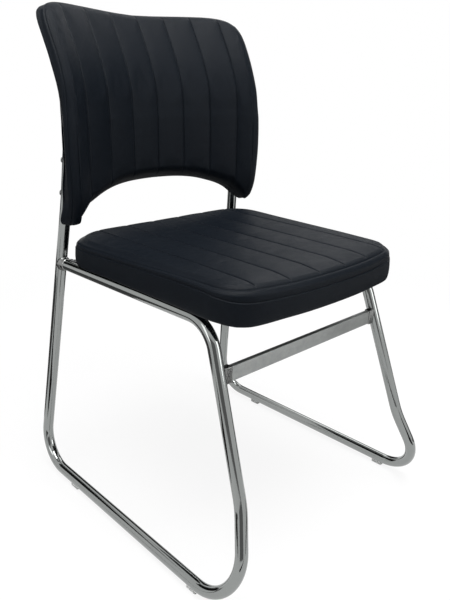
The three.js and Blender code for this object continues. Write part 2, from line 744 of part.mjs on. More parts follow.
// A flat hollow bar between the front legs
function frontStretcher() {
  const shape = roundedShape(stretcherDepth, stretcherThickness, 1.5);
  shape.holes.push(roundedShape(stretcherDepth - 3, stretcherThickness - 3, 0.6));
  const alongX = new THREE.Matrix4().makeBasis(
    new THREE.Vector3(0, 0, 1), new THREE.Vector3(0, 1, 0), new THREE.Vector3(-1, 0, 0));
  alongX.setPosition(200, stretcherY, stretcherHeight);
  const bar = extruded(shape, 400, alongX);
  const weldCollar = (highX) => {
    const wide = roundedShape(stretcherDepth + 3, stretcherThickness + 3, 2.5);
    wide.holes.push(roundedShape(stretcherDepth - 2, stretcherThickness - 2, 0.6));
    return extruded(wide, 30, alongX.clone().setPosition(highX, stretcherY, stretcherHeight));
  };
  return bar.add(weldCollar(203)).add(weldCollar(-173));
}

// A saddle pad under the runner, held by a peg in the tube
function floorGlide(y) {
  const at = onRunner(y);
  const half = 12;
  const foot = new THREE.Shape([[-5.4, 0], [5.4, 0], [6.6, 1.2], [6.6, 8], [-6.6, 8], [-6.6, 1.2]].map(
    ([x, z]) => new THREE.Vector2(x, z)));
  const across = new THREE.Vector3(0, 0, 1).cross(runnerAxis).normalize().negate();
  const lay = new THREE.Matrix4().makeBasis(across, new THREE.Vector3(0, 0, 1), runnerAxis.clone().negate());
  lay.setPosition(at.clone().setZ(0).addScaledVector(runnerAxis, half));
  const hollow = rod(at.clone().addScaledVector(runnerAxis, -40), at.clone().addScaledVector(runnerAxis, 40),
    tubeRadius + fit, 16);
  const peg = rod(at.clone().setZ(2), at.clone().setZ(9), 2.7, 8);
  return extruded(foot, 2 * half, lay).subtract(hollow).add(peg);
}

function endCap() {
  const inner = tubeRadius - tubeWall - 1.5;
  const profile = [
    [0, -14], [inner - 0.8, -14], [inner, -12], [inner, fit], [9.4, fit], [9.4, 2], [7.6, 3.6], [0, 4.4],
  ];
  return turned(profile, uprightTop, uprightAxis, 16);
}

function frameAssembly() {
  const group = new THREE.Group();
  group.name = "frame";
  const right = sideFrame();
  put(group, "side_frame_right", right, chromeSteel);
  put(group, "side_frame_left", mirrored(right), chromeSteel);
  const cope = (solid, ...cutters) => {
    const all = cutters.flatMap((cutter) => [cutter, mirrored(cutter)]);
    return largest(all.reduce((rest, cutter) => rest.subtract(cutter), solid));
  };
  const beadClearance = rod(railEnd.clone().lerp(frontTop, 0.022), railJoint, tubeRadius + 3 + fit, 16);
  put(group, "front_stretcher", cope(frontStretcher(), frameClearance), weldedSteel);
  put(group, "rear_cross_tube", cope(crossTube(crossRows.rear), frameClearance, beadClearance), coatedSteel);
  put(group, "front_cross_tube", cope(crossTube(crossRows.front), frameClearance), coatedSteel);
  for (const [name, x, y] of fixings) {
    put(group, "seat_tab_" + name, seatTab(x, y, name.startsWith("rear") ? -1 : 1), coatedSteel);
  }
  for (const [place, y] of [["front", glideStations[0]], ["rear", glideStations[1]]]) {
    const glide = floorGlide(y);
    put(group, "floor_glide_" + place + "_right", glide, palePlastic);
    put(group, "floor_glide_" + place + "_left", mirrored(glide), palePlastic);
  }
  const cap = endCap();
  put(group, "end_cap_right", cap, darkPlastic);
  put(group, "end_cap_left", mirrored(cap), darkPlastic);
  return group;
}

const group = new THREE.Group();
group.name = "sled_base_visitor_chair";
group.add(frameAssembly(), seatAssembly(), backAssembly());
const box = new THREE.Box3().setFromObject(group);
group.position.y = -(box.min.y + box.max.y) / 2;

export default group;
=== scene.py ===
import bpy
import math
from mathutils import Matrix, Vector, noise


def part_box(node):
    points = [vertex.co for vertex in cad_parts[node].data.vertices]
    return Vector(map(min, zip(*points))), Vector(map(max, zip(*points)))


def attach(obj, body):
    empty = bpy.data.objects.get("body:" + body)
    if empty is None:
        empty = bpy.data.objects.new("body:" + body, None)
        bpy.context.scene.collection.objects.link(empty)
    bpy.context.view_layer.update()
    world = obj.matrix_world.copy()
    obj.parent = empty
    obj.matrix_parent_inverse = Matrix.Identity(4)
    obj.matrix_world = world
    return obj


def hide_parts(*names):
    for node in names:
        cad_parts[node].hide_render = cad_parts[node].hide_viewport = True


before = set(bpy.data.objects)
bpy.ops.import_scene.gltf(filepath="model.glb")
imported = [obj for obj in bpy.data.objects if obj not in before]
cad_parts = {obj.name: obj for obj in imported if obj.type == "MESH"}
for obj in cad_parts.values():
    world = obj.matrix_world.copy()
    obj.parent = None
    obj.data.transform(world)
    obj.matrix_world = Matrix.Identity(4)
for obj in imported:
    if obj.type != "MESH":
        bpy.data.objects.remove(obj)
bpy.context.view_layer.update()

mm = 0.001
world = bpy.context.scene

# The chair is centred in depth, and the front glide says by how much
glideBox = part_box("floor_glide_front_right")
depthShift = (glideBox[0][1] + glideBox[1][1]) / 2 + 172 * mm

cameraView = {
    "place": (-722.2, -721.9, 714.65), "azimuth": -44.083, "elevation": 19.539, "roll": 1.1451,
    "focal": 37.378, "sensor": 36.0,
}


def at(x, y, z):
    return Vector((x * mm, y * mm + depthShift, z * mm))


def smoothstep(x, low, high):
    t = min(1.0, max(0.0, (x - low) / (high - low)))
    return t * t * (3 - 2 * t)


def mix(a, b, t):
    return a + (b - a) * t


# Camera at the photograph's viewing angle
azimuth = math.radians(cameraView["azimuth"])
elevation = math.radians(cameraView["elevation"])
roll = math.radians(cameraView["roll"])
backward = Vector((
    math.sin(azimuth) * math.cos(elevation), -math.cos(azimuth) * math.cos(elevation), math.sin(elevation)))
rightward = Vector((math.cos(azimuth), math.sin(azimuth), 0))
upward = backward.cross(rightward)
tiltedRight = math.cos(roll) * rightward + math.sin(roll) * upward
tiltedUp = -math.sin(roll) * rightward + math.cos(roll) * upward
cameraData = bpy.data.cameras.new("photoCamera")
cameraData.lens = cameraView["focal"]
cameraData.sensor_width = cameraView["sensor"]
cameraData.clip_start = 0.05
cameraData.clip_end = 60
photoCamera = bpy.data.objects.new("photoCamera", cameraData)
world.collection.objects.link(photoCamera)
photoCamera.matrix_world = Matrix.Translation(at(*cameraView["place"])) @ Matrix(
    (tiltedRight, tiltedUp, backward)).transposed().to_4x4()
world.camera = photoCamera
world.view_settings.view_transform = "Standard"
print("camera placed")


# Materials
def newMaterial(name):
    material = bpy.data.materials.new(name)
    material.use_nodes = True
    nodes, links = material.node_tree.nodes, material.node_tree.links
    return material, nodes, links, nodes["Principled BSDF"]


def setSockets(node, **values):
    for label, value in values.items():
        node.inputs[label.replace("_", " ")].default_value = value


def newGroup(name, inputs, outputs):
    group = bpy.data.node_groups.new(name, "ShaderNodeTree")
    for label, kind, value in inputs:
        socket = group.interface.new_socket(name=label, in_out="INPUT", socket_type=kind)
        if value is not None:
            socket.default_value = value
    for label, kind in outputs:
        group.interface.new_socket(name=label, in_out="OUTPUT", socket_type=kind)
    return group, group.nodes.new("NodeGroupInput"), group.nodes.new("NodeGroupOutput")


def mathNode(tree, operation, a, b=None, c=None):
    node = tree.nodes.new("ShaderNodeMath")
    node.operation = operation
    for i, value in enumerate((a, b, c)):
        if value is None:
            continue
        if isinstance(value, (int, float)):
            node.inputs[i].default_value = value
        else:
            tree.links.new(value, node.inputs[i])
    return node.outputs[0]


def noiseNode(tree, vector, scale, detail=3.0, rough=0.55):
    node = tree.nodes.new("ShaderNodeTexNoise")
    setSockets(node, Scale=scale, Detail=detail, Roughness=rough)
    tree.links.new(vector, node.inputs["Vector"])
    return node.outputs["Fac"]


def objectVector(tree):
    return tree.nodes.new("ShaderNodeTexCoord").outputs["Object"]


def stretched(tree, scale):
    node = tree.nodes.new("ShaderNodeMapping")
    node.inputs["Scale"].default_value = scale
    tree.links.new(objectVector(tree), node.inputs["Vector"])
    return node.outputs[0]


# Grain of embossed upholstery leather: small pebbles with creases between them; the crease mask is also used to paint
# shade into the leather's colour
def makeGrainGroup():
    group, entry, leave = newGroup(
        "pebbleGrain",
        [("Vector", "NodeSocketVector", None), ("Pebbles", "NodeSocketFloat", 620.0)],
        [("Height", "NodeSocketFloat"), ("Crease", "NodeSocketFloat")],
    )
    wander = group.nodes.new("ShaderNodeTexNoise")
    wander.inputs["Scale"].default_value = 260
    shrink = group.nodes.new("ShaderNodeVectorMath")
    shrink.operation = "SCALE"
    shrink.inputs["Scale"].default_value = 0.0016
    bend = group.nodes.new("ShaderNodeVectorMath")
    bend.operation = "ADD"
    cells = group.nodes.new("ShaderNodeTexVoronoi")
    cells.feature = "DISTANCE_TO_EDGE"
    ramp = group.nodes.new("ShaderNodeMapRange")
    ramp.inputs["From Max"].default_value = 0.22
    ramp.interpolation_type = "SMOOTHSTEP"
    group.links.new(entry.outputs["Vector"], wander.inputs["Vector"])
    group.links.new(wander.outputs["Color"], shrink.inputs[0])
    group.links.new(entry.outputs["Vector"], bend.inputs[0])
    group.links.new(shrink.outputs[0], bend.inputs[1])
    group.links.new(bend.outputs[0], cells.inputs["Vector"])
    group.links.new(entry.outputs["Pebbles"], cells.inputs["Scale"])
    group.links.new(cells.outputs["Distance"], ramp.inputs["Value"])
    fine = noiseNode(group, entry.outputs["Vector"], 2400, 2)
    group.links.new(mathNode(group, "MULTIPLY_ADD", fine, 0.25, ramp.outputs[0]), leave.inputs["Height"])
    group.links.new(mathNode(group, "SUBTRACT", 1.0, ramp.outputs[0]), leave.inputs["Crease"])
    return group


# Handling marks and faint dust: a slow pattern that shifts roughness and colour a little
def makeSmudgeGroup():
    group, entry, leave = newGroup(
        "handlingMarks",
        [("Vector", "NodeSocketVector", None), ("Low", "NodeSocketFloat", 0.1), ("High", "NodeSocketFloat", 0.2)],
        [("Roughness", "NodeSocketFloat"), ("Mask", "NodeSocketFloat")],
    )
    slow = noiseNode(group, entry.outputs["Vector"], 14, 4, 0.6)
    quick = noiseNode(group, entry.outputs["Vector"], 160, 3, 0.7)
    both = mathNode(group, "MULTIPLY_ADD", quick, 0.35, mathNode(group, "MULTIPLY", slow, 0.65))
    spread = group.nodes.new("ShaderNodeMapRange")
    spread.inputs["From Min"].default_value = 0.32
    spread.inputs["From Max"].default_value = 0.68
    group.links.new(both, spread.inputs["Value"])
    group.links.new(entry.outputs["Low"], spread.inputs["To Min"])
    group.links.new(entry.outputs["High"], spread.inputs["To Max"])
    group.links.new(spread.outputs[0], leave.inputs["Roughness"])
    group.links.new(both, leave.inputs["Mask"])
    return group


# Worn and soiled edges: 1 where the surface is convex and the slow pattern lets it through
def makeWearGroup():
    group, entry, leave = newGroup(
        "edgeWear",
        [("Vector", "NodeSocketVector", None), ("Start", "NodeSocketFloat", 0.53), ("End", "NodeSocketFloat", 0.6)],
        [("Mask", "NodeSocketFloat")],
    )
    shape = group.nodes.new("ShaderNodeNewGeometry")
    edge = group.nodes.new("ShaderNodeMapRange")
    group.links.new(shape.outputs["Pointiness"], edge.inputs["Value"])
    group.links.new(entry.outputs["Start"], edge.inputs["From Min"])
    group.links.new(entry.outputs["End"], edge.inputs["From Max"])
    broken = noiseNode(group, entry.outputs["Vector"], 90, 4, 0.7)
    group.links.new(mathNode(group, "MULTIPLY", edge.outputs[0], broken), leave.inputs["Mask"])
    return group


grainGroup = makeGrainGroup()
smudgeGroup = makeSmudgeGroup()
wearGroup = makeWearGroup()


def placeGroup(tree, group, **values):
    node = tree.nodes.new("ShaderNodeGroup")
    node.node_tree = group
    setSockets(node, **values)
    tree.links.new(objectVector(tree), node.inputs["Vector"])
    return node


def smudge(tree, shader, low, high):
    marks = placeGroup(tree, smudgeGroup, Low=low, High=high)
    tree.links.new(marks.outputs["Roughness"], shader.inputs["Roughness"])
    return marks.outputs["Mask"]


def blended(tree, factor, colourA, colourB):
    blend = tree.nodes.new("ShaderNodeMix")
    blend.data_type = "RGBA"
    for label, colour in (("A", colourA), ("B", colourB)):
        if isinstance(colour, tuple):
            blend.inputs[label].default_value = (*colour, 1)
        else:
            tree.links.new(colour, blend.inputs[label])
    tree.links.new(factor, blend.inputs["Factor"])
    return blend.outputs["Result"]


def relief(tree, shader, height, distance, strength=1.0):
    bump = tree.nodes.new("ShaderNodeBump")
    bump.inputs["Distance"].default_value = distance
    bump.inputs["Strength"].default_value = strength
    tree.links.new(height, bump.inputs["Height"])
    tree.links.new(bump.outputs["Normal"], shader.inputs["Normal"])


leatherLook = {
    "dark": (0.0034, 0.0054, 0.0086), "light": (0.0054, 0.0078, 0.0114), "worn": (0.0085, 0.011, 0.0145),
    "low": 0.38, "high": 0.50, "pebbles": 560.0, "specular": 0.075,
}


def makeLeather():
    material, nodes, links, shader = newMaterial("upholsteryLeather")
    tree = material.node_tree
    mask = smudge(tree, shader, leatherLook["low"], leatherLook["high"])
    grain = placeGroup(tree, grainGroup, Pebbles=leatherLook["pebbles"])
    body = blended(tree, mask, leatherLook["dark"], leatherLook["light"])
    wear = placeGroup(tree, wearGroup, Start=0.52, End=0.62)
    coloured = blended(tree, wear.outputs["Mask"], body, leatherLook["worn"])
    # Painted shade: the creases between the pebbles are darkened in the base colour, on top of the bump
    paintedCreaseShade = mathNode(tree, "MULTIPLY", grain.outputs["Crease"], 0.5)
    links.new(blended(tree, paintedCreaseShade, coloured, (0.0022, 0.0028, 0.0042)), shader.inputs["Base Color"])
    relief(tree, shader, grain.outputs["Height"], 0.00020, 0.5)
    setSockets(shader, Specular_IOR_Level=leatherLook["specular"])
    return material


chromeLook = {"dark": (0.25, 0.261, 0.256), "light": (0.315, 0.327, 0.321), "low": 0.05, "high": 0.13}


def makeChrome():
    material, nodes, links, shader = newMaterial("chromePlate")
    tree = material.node_tree
    mask = smudge(tree, shader, chromeLook["low"], chromeLook["high"])
    links.new(blended(tree, mask, chromeLook["dark"], chromeLook["light"]), shader.inputs["Base Color"])
    relief(tree, shader, noiseNode(tree, objectVector(tree), 140, 3), 0.0001, 0.22)
    setSockets(shader, Metallic=1.0)
    return material


def makeWeldedChrome():
    material, nodes, links, shader = newMaterial("weldedChrome")
    tree = material.node_tree
    mask = smudge(tree, shader, 0.12, 0.34)
    links.new(blended(tree, mask, (0.17, 0.172, 0.168), (0.30, 0.305, 0.30)), shader.inputs["Base Color"])
    relief(tree, shader, noiseNode(tree, objectVector(tree), 420, 3), 0.0005, 0.5)
    setSockets(shader, Metallic=1.0)
    return material


def makeSatinSteel():
    material, nodes, links, shader = newMaterial("satinSteel")
    tree = material.node_tree
    mask = smudge(tree, shader, 0.44, 0.56)
    body = blended(tree, mask, (0.235, 0.25, 0.248), (0.295, 0.308, 0.302))
    wear = placeGroup(tree, wearGroup, Start=0.52, End=0.60)
    links.new(blended(tree, wear.outputs["Mask"], body, (0.42, 0.43, 0.42)), shader.inputs["Base Color"])
    relief(tree, shader, noiseNode(tree, stretched(tree, (14, 700, 700)), 1, 2), 0.00002, 0.35)
    setSockets(shader, Metallic=0.75)
    return material


def makeMetal(name, dark, light, low, high, metallic, grain, depth):
    material, nodes, links, shader = newMaterial(name)
    tree = material.node_tree
    mask = smudge(tree, shader, low, high)
    wear = placeGroup(tree, wearGroup, Start=0.52, End=0.60)
    worn = tuple(min(1.0, c * 1.5) for c in light)
    body = blended(tree, mask, dark, light)
    links.new(blended(tree, wear.outputs["Mask"], body, worn), shader.inputs["Base Color"])
    relief(tree, shader, noiseNode(tree, objectVector(tree), grain, 2), depth, 0.4)
    setSockets(shader, Metallic=metallic)
    return material


def makePlastic(name, dark, light, low, high, grain):
    material, nodes, links, shader = newMaterial(name)
    tree = material.node_tree
    mask = smudge(tree, shader, low, high)
    wear = placeGroup(tree, wearGroup, Start=0.52, End=0.62)
    scuffed = tuple(c * 1.25 + 0.01 for c in light)
    body = blended(tree, mask, dark, light)
    links.new(blended(tree, wear.outputs["Mask"], body, scuffed), shader.inputs["Base Color"])
    relief(tree, shader, noiseNode(tree, objectVector(tree), grain, 2), 0.00006, 0.45)
    setSockets(shader, Specular_IOR_Level=0.4)
    return material


# Non-woven lining: pressed fibres in two crossing directions
def makeLining():
    material, nodes, links, shader = newMaterial("dustCloth")
    tree = material.node_tree
    mask = smudge(tree, shader, 0.85, 1.0)
    across = noiseNode(tree, stretched(tree, (1400, 90, 400)), 1, 3)
    along = noiseNode(tree, stretched(tree, (90, 1400, 400)), 1, 3)
    fibres = mathNode(tree, "MAXIMUM", across, along)
    tone = mathNode(tree, "MULTIPLY", mask, fibres)
    links.new(blended(tree, tone, (0.008, 0.008, 0.009), (0.040, 0.040, 0.042)), shader.inputs["Base Color"])
    relief(tree, shader, fibres, 0.0003, 0.6)
    setSockets(shader, Specular_IOR_Level=0.15)
    return material


def makePlywood():
    material, nodes, links, shader = newMaterial("rawPlywood")
    tree = material.node_tree
    figure = noiseNode(tree, stretched(tree, (120, 8, 260)), 1, 5, 0.65)
    links.new(blended(tree, figure, (0.42, 0.27, 0.14), (0.64, 0.47, 0.29)), shader.inputs["Base Color"])
    relief(tree, shader, figure, 0.0002, 0.4)
    setSockets(shader, Roughness=0.75)
    return material


def makeFoam():
    material, nodes, links, shader = newMaterial("cutFoam")
    tree = material.node_tree
    pores = nodes.new("ShaderNodeTexVoronoi")
    pores.inputs["Scale"].default_value = 700
    links.new(objectVector(tree), pores.inputs["Vector"])
    tone = noiseNode(tree, objectVector(tree), 40, 3)
    links.new(blended(tree, tone, (0.72, 0.66, 0.42), (0.82, 0.78, 0.56)), shader.inputs["Base Color"])
    relief(tree, shader, pores.outputs["Distance"], 0.0005, 0.5)
    setSockets(shader, Roughness=0.95)
    return material


leather = makeLeather()
chrome = makeChrome()
weldedChrome = makeWeldedChrome()
satinSteel = makeSatinSteel()
coatedSteel = makeMetal("coatedSteel", (0.15, 0.155, 0.16), (0.21, 0.215, 0.22), 0.42, 0.56, 0.6, 700, 0.0001)
zinc = makeMetal("zincPlate", (0.50, 0.50, 0.47), (0.58, 0.59, 0.60), 0.22, 0.40, 1.0, 1500, 0.00003)
blackPlastic = makePlastic("blackPlastic", (0.012, 0.012, 0.013), (0.020, 0.020, 0.022), 0.38, 0.52, 1200)
palePlastic = makePlastic("palePlastic", (0.50, 0.51, 0.50), (0.58, 0.59, 0.58), 0.32, 0.45, 900)
lining = makeLining()
plywood = makePlywood()
foamLook = makeFoam()
print("materials made")


# Modelling helpers
def deselect():
    for other in list(bpy.context.selected_objects):
        other.select_set(False)


def makeActive(piece):
    deselect()
    piece.select_set(True)
    bpy.context.view_layer.objects.active = piece


def settle(piece):
    makeActive(piece)
    bpy.ops.object.transform_apply(location=True, rotation=True, scale=True)


def outward(piece, merge=0.00001):
    makeActive(piece)
    bpy.ops.object.mode_set(mode="EDIT")
    bpy.ops.mesh.select_all(action="SELECT")
    bpy.ops.mesh.remove_doubles(threshold=merge)
    bpy.ops.mesh.normals_make_consistent(inside=False)
    bpy.ops.object.mode_set(mode="OBJECT")


def finishPiece(piece, name, material, nodes=(), angle=35):
    piece.name = name
    piece.data.name = name
    makeActive(piece)
    for modifier in list(piece.modifiers):
        bpy.ops.object.modifier_apply(modifier=modifier.name)
    bpy.ops.object.shade_smooth_by_angle(angle=math.radians(angle))
    if material is not None:
        piece.data.materials.clear()
        piece.data.materials.append(material)
    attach(piece, "root")
    if nodes:
        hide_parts(*nodes)
    return piece


def copied(piece):
    copy = piece.copy()
    copy.data = piece.data.copy()
    world.collection.objects.link(copy)
    return copy


# A copy on the other side of the chair, with its own mesh
def otherSide(piece, name, material, nodes=(), angle=35):
    copy = copied(piece)
    copy.scale.x = -1
    settle(copy)
    outward(copy, 0.000001)
    return finishPiece(copy, name, material, nodes, angle)


def bothSides(piece, name, node, material, angle=35):
    finishPiece(piece, name + "Right", material, [node + "_right"], angle)
    otherSide(piece, name + "Left", material, [node + "_left"], angle)


def joined(pieces):
    deselect()
    for piece in pieces:
        piece.select_set(True)
    bpy.context.view_layer.objects.active = pieces[0]
    bpy.ops.object.join()
    return pieces[0]


# A round tube along straight runs and bends, drawn out and spun as on a bending machine
def bentTube(corners, radius, sides, stepAngle=5.0):
    points = [at(*corner[0]) for corner in corners]
    heading = (points[1] - points[0]).normalized()
    deselect()
    bpy.ops.mesh.primitive_circle_add(
        vertices=sides, radius=radius * mm, fill_type="NOTHING", location=points[0],
        rotation=heading.to_track_quat("Z", "Y").to_euler())
    piece = bpy.context.object
    bpy.ops.object.transform_apply(location=True, rotation=True, scale=True)
    bpy.ops.object.mode_set(mode="EDIT")
    bpy.ops.mesh.select_all(action="SELECT")
    here = points[0]
    for i in range(1, len(points) - 1):
        bend = corners[i][1] * mm
        into = (points[i] - points[i - 1]).normalized()
        out = (points[i + 1] - points[i]).normalized()
        turn = into.angle(out)
        reach = bend * math.tan(turn / 2)
        centre = points[i] + (out - into).normalized() * bend / math.cos(turn / 2)
        start = points[i] - into * reach
        bpy.ops.mesh.extrude_region_move(TRANSFORM_OT_translate={"value": start - here})
        bpy.ops.mesh.spin(
            steps=max(2, math.ceil(math.degrees(turn) / stepAngle)), dupli=False, angle=-turn, center=centre,
            axis=into.cross(out).normalized())
        here = points[i] + out * reach
    bpy.ops.mesh.extrude_region_move(TRANSFORM_OT_translate={"value": points[-1] - here})
    bpy.ops.object.mode_set(mode="OBJECT")
    return piece


# A turned piece: rings of (radius, height) drawn up one from another, then laid along its own axis.
# Rings within the socket's radius are made six-sided.
def turnedPiece(rings, base, direction, sides, socket=0.0):
    deselect()
    bpy.ops.mesh.primitive_circle_add(
        vertices=sides, radius=rings[0][0] * mm, fill_type="NGON", location=(0, 0, rings[0][1] * mm))
    piece = bpy.context.object
    bpy.ops.object.transform_apply(location=True, rotation=True, scale=True)
    bpy.ops.object.mode_set(mode="EDIT")
    bpy.ops.mesh.select_all(action="SELECT")
    for (radiusBelow, heightBelow), (radius, height) in zip(rings, rings[1:]):
        bpy.ops.mesh.extrude_region_move(TRANSFORM_OT_translate={"value": (0, 0, (height - heightBelow) * mm)})
        grow = radius / radiusBelow
        bpy.ops.transform.resize(value=(grow, grow, 1), center_override=(0, 0, height * mm))
    bpy.ops.object.mode_set(mode="OBJECT")
    for vertex in piece.data.vertices:
        spread = math.hypot(vertex.co.x, vertex.co.y)
        if 0.1 * mm < spread < socket * mm:
            corner = math.atan2(vertex.co.y, vertex.co.x) % (math.pi / 3) - math.pi / 6
            flatten = math.cos(math.pi / 6) / math.cos(corner)
            vertex.co.x *= flatten
            vertex.co.y *= flatten
    outward(piece, 0.000001)
    makeActive(piece)
    piece.rotation_mode = "QUATERNION"
    piece.rotation_quaternion = Vector(direction).to_track_quat("Z", "Y")
    piece.location = base
    bpy.ops.object.transform_apply(location=True, rotation=True, scale=True)
    return piece


# A block whose base may be drawn in: its upright edges are rounded, then all that are left
def roundedBox(size, matrix, cornerRadius, edgeRadius, baseShare=1.0):
    deselect()
    bpy.ops.mesh.primitive_cube_add(size=1)
    piece = bpy.context.object
    piece.scale = [s * mm for s in size]
    bpy.ops.object.transform_apply(location=True, rotation=True, scale=True)
    for face in piece.data.polygons:
        face.select = face.normal.z < -0.5
    bpy.ops.object.mode_set(mode="EDIT")
    bpy.ops.mesh.select_mode(type="FACE")
    bpy.ops.transform.resize(value=(baseShare, baseShare, 1))
    bpy.ops.mesh.select_all(action="DESELECT")
    bpy.ops.object.mode_set(mode="OBJECT")
    for edge in piece.data.edges:
        a, b = [piece.data.vertices[v].co for v in edge.vertices]
        edge.select = abs(a.z - b.z) > 0.5 * size[2] * mm
    bpy.ops.object.mode_set(mode="EDIT")
    bpy.ops.mesh.select_mode(type="EDGE")
    bpy.ops.mesh.bevel(offset=cornerRadius * mm, segments=4, affect="EDGES")
    bpy.ops.object.mode_set(mode="OBJECT")
    softEdges(piece, edgeRadius)
    piece.matrix_world = matrix
    settle(piece)
    return piece


def softEdges(piece, radius, segments=3):
    makeActive(piece)
    rim = piece.modifiers.new("softEdge", "BEVEL")
    rim.width = radius * mm
    rim.segments = segments
    rim.limit_method = "ANGLE"
    bpy.ops.object.modifier_apply(modifier=rim.name)


# Uneven metal: every point moves in or out by a slow noise
def ripple(piece, depth, scale, weight=lambda spot: 1.0):
    for vertex in piece.data.vertices:
        share = weight(vertex.co)
        if share > 0:
            vertex.co += vertex.normal * (noise.noise(vertex.co * scale) * depth * mm * share)


# Frame
tubeFrame = {
    "radius": 9.5, "wall": 1.5, "sides": 40,
    "corners": [
        ((203.5, 212, 408.6), 0), ((183.1, -136.4, 398.1), 55), ((199.7, -223, 150.6), 130),
        ((244.1, -275.3, 13.5), 66), ((238.2, 275.3, 13.5), 60), ((194.2, 208, 525), 320), ((187.3, 204, 603), 0)],
    "weld": [
        (9.7, -7.5), (10.2, -6.6), (10.7, -5), (10.9, -3), (11.3, -1), (12.3, 1), (12.8, 3.2), (12.6, 6), (11.6, 8)],
    "weldRipple": 0.3, "bendRipple": 0.16,
}
railEnd, frontTop, legKink, frontFloor, rearFloor, uprightBend, uprightTop = [
    Vector(corner[0]) for corner in tubeFrame["corners"]]
railJoint = Vector((204.1, 222.4, 408.9))


def uprightAt(z):
    low, high = (rearFloor, uprightBend) if z < uprightBend.z else (uprightBend, uprightTop)
    return low.lerp(high, (z - low.z) / (high.z - low.z))


# Bent tube is never quite round: it ripples a little where it was bent
def nearBends(spot):
    away = min((spot - at(*corner)).length for corner in (frontTop, frontFloor, rearFloor))
    return 1 - smoothstep(away, 30 * mm, 75 * mm)


def makeSideFrames():
    tube = bentTube(tubeFrame["corners"], tubeFrame["radius"], tubeFrame["sides"])
    outward(tube)
    ripple(tube, tubeFrame["bendRipple"], 60, nearBends)
    makeActive(tube)
    wall = tube.modifiers.new("wall", "SOLIDIFY")
    wall.thickness = tubeFrame["wall"] * mm
    wall.offset = -1
    bpy.ops.object.modifier_apply(modifier=wall.name)
    tube.data.materials.append(chrome)
    bead = turnedPiece(tubeFrame["weld"], at(*railEnd), railEnd - frontTop, 40)
    ripple(bead, tubeFrame["weldRipple"], 230)
    bead.data.materials.append(weldedChrome)
    right = joined([tube, bead])
    bothSides(right, "sideFrame", "side_frame", None, 40)


stretcher = {"y": -161.6, "z": 326, "depth": 23, "thickness": 8, "half": 180, "collar": 14, "proud": 3}


def makeStretcher():
    middle = Matrix.Translation(at(0, stretcher["y"], stretcher["z"])) @ Matrix.Rotation(math.pi / 2, 4, "X")
    bar = roundedBox((2 * stretcher["half"], stretcher["depth"], stretcher["thickness"]), middle, 0.6, 3.0)
    bar.data.materials.append(satinSteel)
    pieces = [bar]
    for sign in (1, -1):
        length = stretcher["collar"]
        place = middle @ Matrix.Translation((sign * (stretcher["half"] + 1 - length / 2) * mm, 0, 0))
        wide = (length, stretcher["depth"] + stretcher["proud"], stretcher["thickness"] + stretcher["proud"])
        collar = roundedBox(wide, place, 1.5, 1.2)
        makeActive(collar)
        bpy.ops.object.mode_set(mode="EDIT")
        bpy.ops.mesh.select_all(action="SELECT")
        bpy.ops.mesh.subdivide(number_cuts=4)
        bpy.ops.object.mode_set(mode="OBJECT")
        ripple(collar, 0.5, 260)
        collar.data.materials.append(weldedChrome)
        pieces.append(collar)
    finishPiece(joined(pieces), "frontStretcher", None, ["front_stretcher"], 35)


glide = {"stations": {"Front": -172, "Rear": 160}, "length": 25, "width": 14.2, "height": 8.8, "base": 0.86}
runnerAxis = (frontFloor - rearFloor).normalized()


def makeGlides():
    across = Vector((runnerAxis.y, -runnerAxis.x, 0))
    for place, y in glide["stations"].items():
        share = (y - rearFloor.y) / (frontFloor.y - rearFloor.y)
        spot = rearFloor.lerp(frontFloor, share)
        spot.z = glide["height"] / 2
        lay = Matrix((across, runnerAxis, Vector((0, 0, 1)))).transposed().to_4x4()
        foot = roundedBox(
            (glide["width"], glide["length"], glide["height"]), Matrix.Translation(at(*spot)) @ lay,
            2.2, 0.7, glide["base"])
        outward(foot, 0.000001)
        bothSides(foot, "floorGlide" + place, "floor_glide_" + place.lower(), palePlastic, 30)


endCap = {
    "rings": [
        (7.4, -9), (7.9, -8), (7.9, -0.2), (9.2, 0.1), (9.5, 0.5), (9.5, 1.9), (9.3, 2.6), (8.6, 3.4), (7.2, 4.0),
        (5.0, 4.35), (2.4, 4.5), (0.4, 4.5)],
}


def makeEndCaps():
    cap = turnedPiece(endCap["rings"], at(*uprightTop), uprightTop - uprightBend, 40)
    bothSides(cap, "endCap", "end_cap", blackPlastic, 40)


makeSideFrames()
makeStretcher()
makeGlides()
makeEndCaps()
print("side frames, stretcher, glides and caps made")


# Pads
def through(points):
    slopes = []
    for i in range(len(points)):
        a, b = points[max(0, i - 1)], points[min(len(points) - 1, i + 1)]
        slopes.append((b[1] - a[1]) / (b[0] - a[0]))

    def read(x):
        i = next((k for k, p in enumerate(points) if p[0] >= x), len(points) - 1)
        i = max(1, i)
        (x0, y0), (x1, y1) = points[i - 1], points[i]
        w = x1 - x0
        t = min(1.0, max(0.0, (x - x0) / w))
        a = 1 + t * t * (2 * t - 3)
        return a * y0 + t * (1 + t * (t - 2)) * w * slopes[i - 1] + (1 - a) * y1 + t * t * (t - 1) * w * slopes[i]
    return read


